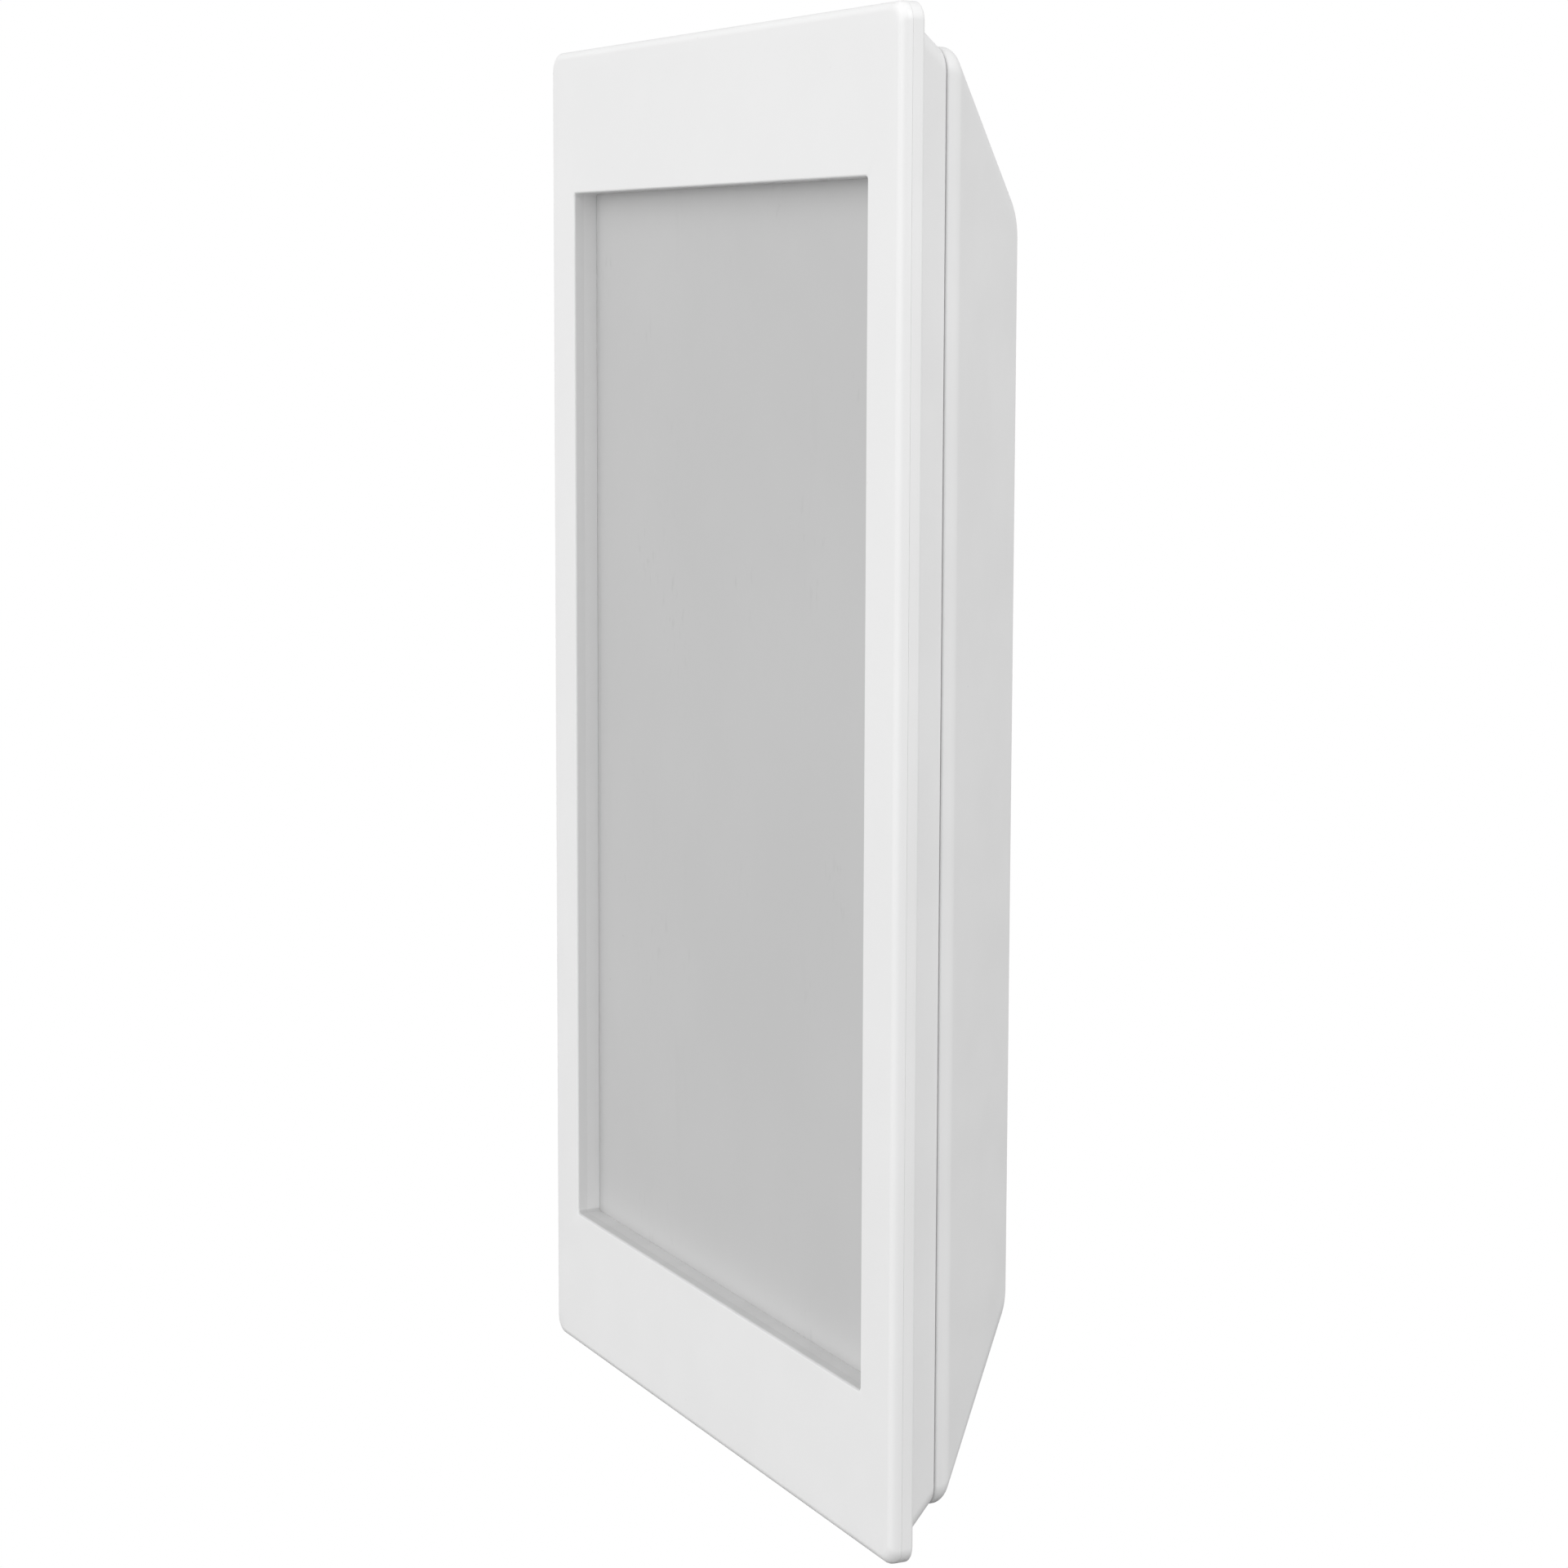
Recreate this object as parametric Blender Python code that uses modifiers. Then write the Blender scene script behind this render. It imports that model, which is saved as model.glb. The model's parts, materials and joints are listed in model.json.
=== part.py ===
"""Wall-mounted indoor video door station, as an assembly of separate parts.

Axes: the front faces -Y, +Z is up, and the origin is the middle of the wall bracket's back
face, where it lies on the wall. Depths are measured back from the front of the bezel.
"""

import math

import bmesh
import bpy
from mathutils import Matrix, Vector

MM = 0.001

# Outside of the panel
WIDTH = 112.0 * MM
HEIGHT = 191.5 * MM
DEPTH = 27.5 * MM
CORNER = 2.4 * MM
CORNER_STEPS = 6
CLEARANCE = 0.3 * MM
FILM_GAP = 0.2 * MM

# Front: bezel with the window to the display, and the frame behind it
BEZEL_THICK = 1.3 * MM
BEZEL_ROUNDING = 1.2 * MM
WINDOW_WIDTH = 94.2 * MM
WINDOW_HEIGHT = 150.7 * MM
FRAME_BACK = 3.2 * MM
FRAME_EDGE = 0.5 * MM

# Display stack
GASKET_WALL = 1.5 * MM
TOUCH_FRONT = 3.5 * MM
TOUCH_THICK = 0.7 * MM
TOUCH_RIM = 1.3 * MM
DISPLAY_FRONT = 4.4 * MM
DISPLAY_THICK = 1.1 * MM
DISPLAY_WIDTH = 95.2 * MM
DISPLAY_HEIGHT = 153.0 * MM
TRAY_WALL = 0.5 * MM
TRAY_MARGIN = 0.8 * MM
TRAY_BACK = 8.2 * MM
STANDOFF_RADIUS = 2.5 * MM

# Middle housing, which narrows towards the parting line
MID_FRONT = 3.4 * MM
MID_BACK = 8.4 * MM
MID_FRONT_INSET = 1.8 * MM
MID_BACK_INSET = 4.8 * MM
MID_CORNER = 3.3 * MM
MID_WALL = 1.5 * MM
MID_WEB = 1.0 * MM
SEAL_THICK = 0.2 * MM
SEAL_INSET = 0.5 * MM
SEAL_WIDTH = 0.6 * MM

# Rear shell: a short lip, then four long sloping sides down to the back face
SHELL_FRONT = 8.8 * MM
LIP_EDGE = 0.4 * MM
SLOPE_FRONT = 10.3 * MM
BACK_INSET = 20.7 * MM
BACK_EDGE = 0.6 * MM
BACK_CORNER = 6.9 * MM
SHELL_WALL = 1.3 * MM

# Wall bracket and the recess that it hangs in
RECESS_FLOOR = DEPTH - 2.1 * MM
CAVITY_BACK = RECESS_FLOOR - 1.5 * MM
RECESS_WIDTH = 54.0 * MM
RECESS_HEIGHT = 117.0 * MM
BRACKET_THICK = 1.2 * MM
BRACKET_WIDTH = 52.0 * MM
BRACKET_HEIGHT = 107.0 * MM
CABLE_WIDTH = 24.0 * MM
CABLE_LOW = 4.0 * MM
CABLE_HIGH = 24.0 * MM
BOX_HOLE_RISE = 30.0 * MM
CORNER_HOLE_X = 19.0 * MM
CORNER_HOLE_Z = 46.0 * MM
CORNER_HOLE_RADIUS = 2.2 * MM
HOOK_X = 16.0 * MM
HOOK_Z = 34.0 * MM
HOOK_WIDTH = 6.0 * MM
HOOK_THICK = 1.2 * MM
HOOK_RISE = 3.0 * MM
SLOT_WIDTH = 8.0 * MM
SLOT_HEIGHT = 6.4 * MM

# Fasteners
HOUSING_SCREW_X = 36.0 * MM
HOUSING_SCREW_Z = 82.4 * MM
HOUSING_SCREW_FLOOR = SHELL_FRONT + 2.6 * MM
HOUSING_BOSS_RADIUS = 3.0 * MM
SHELL_BOSS_RADIUS = 4.2 * MM
COUNTERBORE_RADIUS = 3.1 * MM
SCREW_BORE_RADIUS = 1.6 * MM
BOARD_SCREW_X = 34.0 * MM
BOARD_SCREW_Z = 62.0 * MM

# Electronics
BOARD_WIDTH = 78.0 * MM
BOARD_HEIGHT = 134.0 * MM
BOARD_FRONT = 11.8 * MM
BOARD_THICK = 1.6 * MM
CHIP_ROW_Z = 42.0 * MM
SHIELD_SIZE = (44.0 * MM, 26.0 * MM)
SHIELD_WALL = 0.4 * MM
TERMINAL_WAYS = 4
TERMINAL_PITCH = 5.0 * MM
TERMINAL_LOW = 15.5 * MM
TERMINAL_HIGH = 25.0 * MM
TERMINAL_BACK = RECESS_FLOOR - 0.8 * MM
RESET_X = 16.0 * MM
RESET_Z = -63.5 * MM
RESET_RADIUS = 1.6 * MM
RESET_FRONT = 17.5 * MM
RESET_SUNK = 0.4 * MM

# Speaker, microphone and vents in the sloping bottom and top
SLOT_PITCH = 3.4 * MM
GRILLE_SLOTS = 7
VENT_SLOTS = 7
GRILLE_SLOT = (1.4 * MM, 9.0 * MM)
SLOT_ROUNDING = 0.5 * MM
GRILLE_DEPTH = 17.5 * MM
SPEAKER_SIZE = (34.0 * MM, 15.0 * MM)
MIC_X = 26.0 * MM
MIC_DEPTH = 15.0 * MM

FINISHES = {
    "white_front": ((0.86, 0.86, 0.85), 0.38, 0.0),
    "white_plastic": ((0.80, 0.80, 0.79), 0.42, 0.0),
    "grey_foam": ((0.52, 0.52, 0.51), 0.80, 0.0),
    "touch_film": ((0.60, 0.60, 0.59), 0.45, 0.0),
    "dark_seal": ((0.06, 0.06, 0.06), 0.75, 0.0),
    "display_cell": ((0.56, 0.57, 0.57), 0.30, 0.0),
    "light_guide": ((0.78, 0.80, 0.80), 0.15, 0.0),
    "led_strip": ((0.75, 0.70, 0.45), 0.50, 0.0),
    "tray_steel": ((0.62, 0.62, 0.61), 0.35, 1.0),
    "green_board": ((0.03, 0.17, 0.08), 0.45, 0.0),
    "chip_black": ((0.03, 0.03, 0.035), 0.40, 0.0),
    "can_tin": ((0.70, 0.70, 0.68), 0.28, 1.0),
    "ferrite": ((0.09, 0.09, 0.09), 0.65, 0.0),
    "capacitor_sleeve": ((0.55, 0.56, 0.58), 0.30, 1.0),
    "cream_plastic": ((0.72, 0.68, 0.56), 0.50, 0.0),
    "flat_cable": ((0.60, 0.36, 0.10), 0.40, 0.0),
    "speaker_black": ((0.05, 0.05, 0.055), 0.55, 0.0),
    "black_foam": ((0.04, 0.04, 0.04), 0.90, 0.0),
    "boot_rubber": ((0.05, 0.05, 0.05), 0.70, 0.0),
    "mic_nickel": ((0.66, 0.65, 0.62), 0.30, 1.0),
    "terminal_green": ((0.05, 0.30, 0.12), 0.50, 0.0),
    "zinc_screw": ((0.66, 0.66, 0.64), 0.32, 1.0),
    "dark_screw": ((0.10, 0.10, 0.105), 0.40, 1.0),
    "button_grey": ((0.45, 0.45, 0.46), 0.45, 0.0),
    "bracket_steel": ((0.60, 0.61, 0.61), 0.38, 1.0),
}

PARTS = bpy.data.collections.new("video_door_station")
CUTTERS = bpy.data.collections.new("cutters")


def clear_scene():
    for old in list(bpy.data.objects):
        bpy.data.objects.remove(old, do_unlink=True)


def at(depth):
    """World Y of a depth behind the front of the bezel."""
    return depth - DEPTH


def new_object(name, mesh_builder):
    """An object from a bmesh, with its faces pointing out."""
    bmesh.ops.recalc_face_normals(mesh_builder, faces=mesh_builder.faces)
    mesh = bpy.data.meshes.new(name)
    mesh_builder.to_mesh(mesh)
    mesh_builder.free()
    return bpy.data.objects.new(name, mesh)


def add_part(obj, finish, smooth_angle=30.0):
    """Puts an object among the parts and gives it its finish."""
    colour, roughness, metallic = FINISHES[finish]
    material = bpy.data.materials.get(finish) or bpy.data.materials.new(finish)
    material.use_nodes = True
    shader = material.node_tree.nodes["Principled BSDF"]
    shader.inputs["Base Color"].default_value = (*colour, 1.0)
    shader.inputs["Roughness"].default_value = roughness
    shader.inputs["Metallic"].default_value = metallic
    obj.data.materials.clear()
    obj.data.materials.append(material)
    obj.data.shade_smooth()
    obj.data.set_sharp_from_angle(angle=math.radians(smooth_angle))
    PARTS.objects.link(obj)
    return obj


def combine(obj, tool, operation):
    """Adds a Boolean with a helper object, which stays out of the render."""
    if tool.name not in CUTTERS.objects:
        CUTTERS.objects.link(tool)
        tool.hide_render = True
        tool.display_type = "WIRE"
    step = obj.modifiers.new(f"{operation.lower()}_{tool.name}", "BOOLEAN")
    step.operation = operation
    step.object = tool
    step.solver = "EXACT"


def cut(obj, *tools):
    for tool in tools:
        combine(obj, tool, "DIFFERENCE")


def join(obj, *tools):
    for tool in tools:
        combine(obj, tool, "UNION")


def outline(inset, depth, corner):
    """Points of a rounded rectangle, inset from the panel's sides, at one depth."""
    half = Vector((WIDTH / 2 - inset - corner, HEIGHT / 2 - inset - corner))
    points = []
    for quarter, (side, rise) in enumerate(((1, 1), (-1, 1), (-1, -1), (1, -1))):
        for step in range(CORNER_STEPS + 1):
            angle = math.radians(90 * (quarter + step / CORNER_STEPS))
            x = side * half.x + corner * math.cos(angle)
            z = rise * half.y + corner * math.sin(angle)
            points.append((x, at(depth), z))
    return points


def loft(name, rings):
    """A closed skin through rounded rectangles, each given as (inset, depth, corner)."""
    skin = bmesh.new()
    loops = [[skin.verts.new(point) for point in outline(*ring)] for ring in rings]
    for front, back in zip(loops, loops[1:]):
        for i in range(len(front)):
            skin.faces.new((front[i - 1], front[i], back[i], back[i - 1]))
    skin.faces.new(loops[0])
    skin.faces.new(loops[-1])
    return new_object(name, skin)


def quarter_round(inset, depth, radius, corner, steps, towards_back):
    """Rings of a rounded edge that starts or ends on the flat side at this inset."""
    rings = []
    for step in range(steps + 1):
        angle = math.radians(90 * step / steps)
        if towards_back:
            pull, along = 1 - math.cos(angle), math.sin(angle)
            ring_depth = depth - radius + radius * along
        else:
            pull, along = 1 - math.sin(angle), math.cos(angle)
            ring_depth = depth + radius - radius * along
        rings.append((inset + radius * pull, ring_depth, max(corner - radius * pull, CLEARANCE)))
    return rings


def box(name, low, high, radius=0.0, axis=1, steps=4):
    """A box between two corners, with its edges along one axis rounded."""
    low, high = Vector(low), Vector(high)
    shape = bmesh.new()
    bmesh.ops.create_cube(shape, size=1.0)
    for vert in shape.verts:
        vert.co = [(low[k] + high[k]) / 2 + vert.co[k] * (high[k] - low[k]) for k in range(3)]
    if radius:
        edges = [edge for edge in shape.edges if is_along(edge, axis)]
        bmesh.ops.bevel(
            shape, geom=edges, offset=radius, segments=steps, affect="EDGES", profile=0.5
        )
    return new_object(name, shape)


def is_along(edge, axis):
    run = edge.verts[1].co - edge.verts[0].co
    return abs(run[axis]) > 0.99 * run.length


def plate(name, width, height, front, back, radius, centre=(0.0, 0.0)):
    """A flat rounded plate, given by its size, its depths and its middle in X and Z."""
    x, z = centre
    low = (x - width / 2, at(front), z - height / 2)
    high = (x + width / 2, at(back), z + height / 2)
    return box(name, low, high, radius)


def cylinder(name, radius, front, back, centre, sides=24, front_radius=None):
    """A cylinder or cone along Y between two depths."""
    shape = bmesh.new()
    bmesh.ops.create_cone(
        shape,
        cap_ends=True,
        segments=sides,
        radius1=radius if front_radius is None else front_radius,
        radius2=radius,
        depth=back - front,
        matrix=Matrix.Translation((centre[0], at((front + back) / 2), centre[1]))
        @ Matrix.Rotation(math.radians(-90), 4, "X"),
    )
    return new_object(name, shape)


def corners(x, z):
    """The four mirrored places of a repeated part."""
    return [(side * x, rise * z) for rise in (1, -1) for side in (-1, 1)]


def slope_frame(depth, rise):
    """A frame on the sloping bottom or top: its -Z points in, its Y runs along the slope."""
    run = (BACK_INSET - MID_BACK_INSET) / (DEPTH - SLOPE_FRONT)
    inset = MID_BACK_INSET + run * (depth - SLOPE_FRONT)
    along = Vector((0.0, 1.0, -rise * run)).normalized()
    out = Vector((0.0, run, rise)).normalized()
    across = along.cross(out)
    turn = Matrix((across, along, out)).transposed().to_4x4()
    return Matrix.Translation((0.0, at(depth), rise * (HEIGHT / 2 - inset))) @ turn


def on_slope(obj, depth, rise, x=0.0):
    obj.matrix_world = Matrix.Translation((x, 0.0, 0.0)) @ slope_frame(depth, rise)
    return obj


def window_cutter(name, reach=0.0, radius=0.0):
    """A cutter through the whole panel, wider than the window by this reach on each side."""
    width = WINDOW_WIDTH + 2 * reach
    return plate(name, width, WINDOW_HEIGHT + 2 * reach, -MM, DEPTH, radius)


def make_front_bezel():
    rings = quarter_round(0.0, 0.0, BEZEL_ROUNDING, CORNER, 5, towards_back=False)
    rings.append((0.0, BEZEL_THICK, CORNER))
    bezel = loft("front_bezel", rings)
    cut(bezel, window_cutter("bezel_window"))
    add_part(bezel, "white_front")


def make_front_frame():
    rings = [(0.0, BEZEL_THICK + FILM_GAP, CORNER)]
    rings += quarter_round(0.0, FRAME_BACK, FRAME_EDGE, CORNER, 3, towards_back=True)
    frame = loft("front_frame", rings)
    cut(frame, window_cutter("frame_opening", GASKET_WALL + CLEARANCE, 1.0 * MM))
    add_part(frame, "white_plastic")


def make_display_gasket():
    front = BEZEL_THICK + FILM_GAP
    size = (WINDOW_WIDTH + 2 * GASKET_WALL, WINDOW_HEIGHT + 2 * GASKET_WALL)
    ring = plate("display_gasket", *size, front, TOUCH_FRONT - FILM_GAP, 0.8 * MM)
    cut(ring, window_cutter("gasket_window"))
    add_part(ring, "grey_foam")


def make_touch_panel():
    size = (WINDOW_WIDTH + 2 * TOUCH_RIM, WINDOW_HEIGHT + 2 * TOUCH_RIM)
    back = TOUCH_FRONT + TOUCH_THICK
    add_part(plate("touch_panel", *size, TOUCH_FRONT, back, 0.6 * MM), "touch_film")


def make_display():
    back = DISPLAY_FRONT + DISPLAY_THICK
    cell = plate("lcd_panel", DISPLAY_WIDTH, DISPLAY_HEIGHT, DISPLAY_FRONT, back, 0.4 * MM)
    add_part(cell, "display_cell")
    floor = TRAY_BACK - TRAY_WALL
    guide_size = (DISPLAY_WIDTH - 0.6 * MM, 149.0 * MM)
    lift = 1.8 * MM
    guide_back = floor - FILM_GAP
    guide = plate(
        "light_guide", *guide_size, back + 1.75 * FILM_GAP, guide_back, 0.3 * MM, (0.0, lift)
    )
    add_part(guide, "light_guide")
    strip_top = lift - guide_size[1] / 2 - CLEARANCE
    strip = plate(
        "backlight_strip", 90.0 * MM, 2.4 * MM, back + 2 * FILM_GAP, guide_back, 0.0,
        (0.0, strip_top - 1.2 * MM),
    )
    add_part(strip, "led_strip")


def make_display_tray():
    front = DISPLAY_FRONT + DISPLAY_THICK + FILM_GAP
    width = DISPLAY_WIDTH + 2 * TRAY_MARGIN
    height = DISPLAY_HEIGHT + 2 * TRAY_MARGIN
    tray = plate("display_tray", width, height, front, TRAY_BACK, 0.8 * MM)
    inside = (width - 2 * TRAY_WALL, height - 2 * TRAY_WALL)
    cut(tray, plate("tray_inside", *inside, 0.0, TRAY_BACK - TRAY_WALL, 0.3 * MM))
    for i, place in enumerate(corners(BOARD_SCREW_X, BOARD_SCREW_Z)):
        post = cylinder(
            f"standoff_{i}", STANDOFF_RADIUS, TRAY_BACK - TRAY_WALL / 2,
            BOARD_FRONT - CLEARANCE, place,
        )
        join(tray, post)
    for i, place in enumerate(corners(BOARD_SCREW_X, BOARD_SCREW_Z)):
        cut(tray, cylinder(f"standoff_hole_{i}", 1.3 * MM, TRAY_BACK + 0.5 * MM, DEPTH, place))
    add_part(tray, "tray_steel")


def mid_inset(depth):
    run = (MID_BACK_INSET - MID_FRONT_INSET) / (MID_BACK - MID_FRONT)
    return MID_FRONT_INSET + run * (depth - MID_FRONT)


def make_mid_housing():
    housing = loft(
        "mid_housing",
        [
            (mid_inset(MID_FRONT), MID_FRONT, MID_CORNER),
            (mid_inset(MID_BACK), MID_BACK, MID_CORNER),
        ],
    )
    window = plate(
        "housing_window",
        DISPLAY_WIDTH + 2 * TRAY_MARGIN + 2 * CLEARANCE,
        DISPLAY_HEIGHT + 2 * TRAY_MARGIN + 1.0 * MM,
        0.0, DEPTH, 1.0 * MM,
    )
    pocket_front = MID_FRONT + MID_WEB
    pocket_back = MID_BACK + MID_WEB
    pocket = loft(
        "housing_pocket",
        [
            (mid_inset(pocket_front) + MID_WALL, pocket_front, MID_CORNER / 2),
            (mid_inset(MID_BACK) + MID_WALL, MID_BACK, MID_CORNER / 2),
            (mid_inset(MID_BACK) + MID_WALL, pocket_back, MID_CORNER / 2),
        ],
    )
    cut(housing, window, pocket)
    for i, place in enumerate(corners(HOUSING_SCREW_X, HOUSING_SCREW_Z)):
        boss = cylinder(
            f"boss_{i}", HOUSING_BOSS_RADIUS, MID_FRONT + MID_WEB / 2, MID_BACK - FILM_GAP, place
        )
        join(housing, boss)
    for i, place in enumerate(corners(HOUSING_SCREW_X, HOUSING_SCREW_Z)):
        cut(housing, cylinder(f"boss_hole_{i}", SCREW_BORE_RADIUS, pocket_front, DEPTH, place))
    add_part(housing, "white_plastic")


def make_housing_seal():
    front = MID_BACK + (SHELL_FRONT - MID_BACK - SEAL_THICK) / 2
    back = front + SEAL_THICK
    outer = MID_BACK_INSET + SEAL_INSET
    inner = outer + SEAL_WIDTH
    seal = loft("housing_seal", [(outer, front, MID_CORNER), (outer, back, MID_CORNER)])
    hole = loft("seal_hole", [(inner, 0.0, MID_CORNER), (inner, DEPTH, MID_CORNER)])
    cut(seal, hole)
    add_part(seal, "dark_seal")


def shell_skin():
    """The outside of the rear shell."""
    rings = quarter_round(MID_BACK_INSET, SHELL_FRONT, LIP_EDGE, MID_CORNER, 3, False)
    rings.append((MID_BACK_INSET, SLOPE_FRONT, MID_CORNER))
    run = (BACK_INSET - MID_BACK_INSET) / (DEPTH - SLOPE_FRONT)
    rings.append((BACK_INSET - run * BACK_EDGE, DEPTH - BACK_EDGE, BACK_CORNER))
    rings.append((BACK_INSET + BACK_EDGE / 4, DEPTH - BACK_EDGE / 4, BACK_CORNER))
    rings.append((BACK_INSET + BACK_EDGE, DEPTH, BACK_CORNER))
    return loft("rear_shell", rings)


def shell_cavity():
    """The hollow of the rear shell, with the screw bosses left standing in it."""
    run = (BACK_INSET - MID_BACK_INSET) / (DEPTH - SLOPE_FRONT)
    lip = MID_BACK_INSET + SHELL_WALL
    offset = MID_BACK_INSET + SHELL_WALL * math.hypot(1.0, run)
    knee = SLOPE_FRONT - (offset - lip) / run
    cavity = loft(
        "shell_cavity",
        [
            (lip, MID_BACK - CLEARANCE, MID_CORNER / 2),
            (lip, knee, MID_CORNER / 2),
            (offset + run * (CAVITY_BACK - SLOPE_FRONT), CAVITY_BACK, BACK_CORNER / 2),
        ],
    )
    for i, place in enumerate(corners(HOUSING_SCREW_X, HOUSING_SCREW_Z)):
        cut(cavity, cylinder(f"screw_boss_{i}", SHELL_BOSS_RADIUS, MID_BACK + FILM_GAP, DEPTH,
                             place))
    return cavity


def slot_cutters(kind, count, rise):
    """A row of slots through the sloping bottom or top."""
    width, length = GRILLE_SLOT
    tools = []
    for i in range(count):
        x = (i - (count - 1) / 2) * SLOT_PITCH
        low = (-width / 2, -length / 2, -2 * SHELL_WALL)
        high = (width / 2, length / 2, SHELL_WALL)
        slot = box(f"{kind}_{i}", low, high, SLOT_ROUNDING, axis=2, steps=2)
        tools.append(on_slope(slot, GRILLE_DEPTH, rise, x))
    return tools


def make_rear_shell():
    shell = shell_skin()
    cut(shell, shell_cavity())
    recess = plate(
        "bracket_recess", RECESS_WIDTH, RECESS_HEIGHT, RECESS_FLOOR, DEPTH + MM, 3.0 * MM
    )
    cut(shell, recess)
    for i, (x, z) in enumerate(corners(HOOK_X, HOOK_Z)):
        cut(shell, plate(f"hook_slot_{i}", SLOT_WIDTH, SLOT_HEIGHT, CAVITY_BACK - MM, DEPTH,
                         0.8 * MM, (x, z)))
    low, high = CABLE_LOW - 2 * MM, CABLE_HIGH + 2 * MM
    cut(shell, plate("terminal_opening", CABLE_WIDTH + 2 * MM, high - low,
                     CAVITY_BACK - MM, DEPTH, 1.5 * MM, (0.0, (low + high) / 2)))
    for i, place in enumerate(corners(HOUSING_SCREW_X, HOUSING_SCREW_Z)):
        cut(shell, cylinder(f"counterbore_{i}", COUNTERBORE_RADIUS, HOUSING_SCREW_FLOOR, DEPTH,
                            place))
        cut(shell, cylinder(f"screw_hole_{i}", SCREW_BORE_RADIUS, SHELL_FRONT - MM, DEPTH, place))
    reset = (RESET_X, RESET_Z)
    cut(shell, cylinder("reset_hole", RESET_RADIUS + CLEARANCE, CAVITY_BACK - MM,
                        DEPTH + MM, reset))
    cut(shell, *slot_cutters("speaker_slot", GRILLE_SLOTS, -1))
    cut(shell, *slot_cutters("vent_slot", VENT_SLOTS, 1))
    mic_hole = upright_cylinder("mic_hole", 0.7 * MM, -2 * SHELL_WALL, SHELL_WALL, sides=12)
    cut(shell, on_slope(mic_hole, MIC_DEPTH, -1, MIC_X))
    add_part(shell, "white_plastic")


def make_screw(name, place, head, shank, tip, finish):
    """A pan-head screw along Y; head is (radius, front depth, back depth), shank a radius."""
    radius, seat, top = head
    body = cylinder(name, radius, seat, top, place, sides=20)
    join(body, cylinder(f"{name}_shank", shank, tip, seat + MM / 4, place, sides=12))
    for turn, (wide, tall) in enumerate(((1.0, 0.28), (0.28, 1.0))):
        reach = 1.3 * radius
        cut(body, plate(f"{name}_drive_{turn}", reach * wide, reach * tall,
                        top - 0.45 * (top - seat), top + MM, 0.0, place))
    add_part(body, finish)


def make_housing_screws():
    seat = HOUSING_SCREW_FLOOR + CLEARANCE
    tip = MID_FRONT + MID_WEB + CLEARANCE
    for i, place in enumerate(corners(HOUSING_SCREW_X, HOUSING_SCREW_Z), start=1):
        head = (2.7 * MM, seat, seat + 2.0 * MM)
        make_screw(f"housing_screw_{i}", place, head, 1.25 * MM, tip, "dark_screw")


def make_board_screws():
    seat = BOARD_FRONT + BOARD_THICK + FILM_GAP
    tip = TRAY_BACK + 1.0 * MM
    for i, place in enumerate(corners(BOARD_SCREW_X, BOARD_SCREW_Z), start=1):
        head = (2.2 * MM, seat, seat + 1.4 * MM)
        make_screw(f"board_screw_{i}", place, head, 1.0 * MM, tip, "zinc_screw")


def make_main_board():
    back = BOARD_FRONT + BOARD_THICK
    board = plate("main_board", BOARD_WIDTH, BOARD_HEIGHT, BOARD_FRONT, back, 2.0 * MM)
    for i, place in enumerate(corners(BOARD_SCREW_X, BOARD_SCREW_Z)):
        cut(board, cylinder(f"board_hole_{i}", 1.4 * MM, 0.0, DEPTH, place, sides=16))
    add_part(board, "green_board")


def on_board(name, size, tall, centre, finish, radius=0.0):
    """A block soldered to the back of the board."""
    foot = BOARD_FRONT + BOARD_THICK + FILM_GAP
    part = plate(name, size[0], size[1], foot, foot + tall, radius, centre)
    return add_part(part, finish)


def make_chips():
    row_z = CHIP_ROW_Z
    on_board("processor", (15 * MM, 15 * MM), 1.4 * MM, (-10 * MM, row_z), "chip_black")
    on_board("memory_chip", (10 * MM, 12 * MM), 1.0 * MM, (10 * MM, row_z), "chip_black")
    on_board("radio_module", (14 * MM, 18 * MM), 2.2 * MM, (31 * MM, row_z), "can_tin", 0.5 * MM)
    on_board("display_socket", (24 * MM, 5 * MM), 1.6 * MM, (0.0, 60.5 * MM), "cream_plastic")
    on_board("reset_switch", (5 * MM, 5 * MM), 3.1 * MM, (RESET_X, RESET_Z), "chip_black", 0.5 * MM)
    can = on_board("shield_can", SHIELD_SIZE, 3.0 * MM, (0.0, row_z), "can_tin", 1.0 * MM)
    foot = BOARD_FRONT + BOARD_THICK
    inside = [side - 2 * SHIELD_WALL for side in SHIELD_SIZE]
    cut(can, plate("can_inside", *inside, foot, foot + 2.7 * MM, 0.6 * MM, (0.0, row_z)))


def make_power_parts():
    foot = BOARD_FRONT + BOARD_THICK + FILM_GAP
    add_part(cylinder("power_inductor", 5 * MM, foot, foot + 5 * MM, (-27 * MM, 10 * MM)), "ferrite")
    for side, z in (("upper", -6 * MM), ("lower", -18 * MM)):
        can = cylinder(f"capacitor_{side}", 4 * MM, foot, foot + 7 * MM, (-28 * MM, z))
        add_part(can, "capacitor_sleeve")


def ribbon_route():
    """Depth and height along the flat cable, from the display's top edge over the board."""
    start_z = DISPLAY_HEIGHT / 2 + CLEARANCE
    crown_z = start_z + 3.0 * MM
    far_depth = BOARD_FRONT + BOARD_THICK + 1.35 * MM
    near_depth = DISPLAY_FRONT + DISPLAY_THICK / 2
    bend = 1.6 * MM
    route = [(near_depth, start_z)]
    for step in range(7):
        angle = math.radians(90 * step / 6)
        route.append((near_depth + bend * (1 - math.cos(angle)),
                      crown_z - bend + bend * math.sin(angle)))
    for step in range(7):
        angle = math.radians(90 * step / 6)
        route.append((far_depth - bend + bend * math.sin(angle),
                      crown_z - bend + bend * math.cos(angle)))
    route.append((far_depth, 63.0 * MM + CLEARANCE))
    return route


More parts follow.
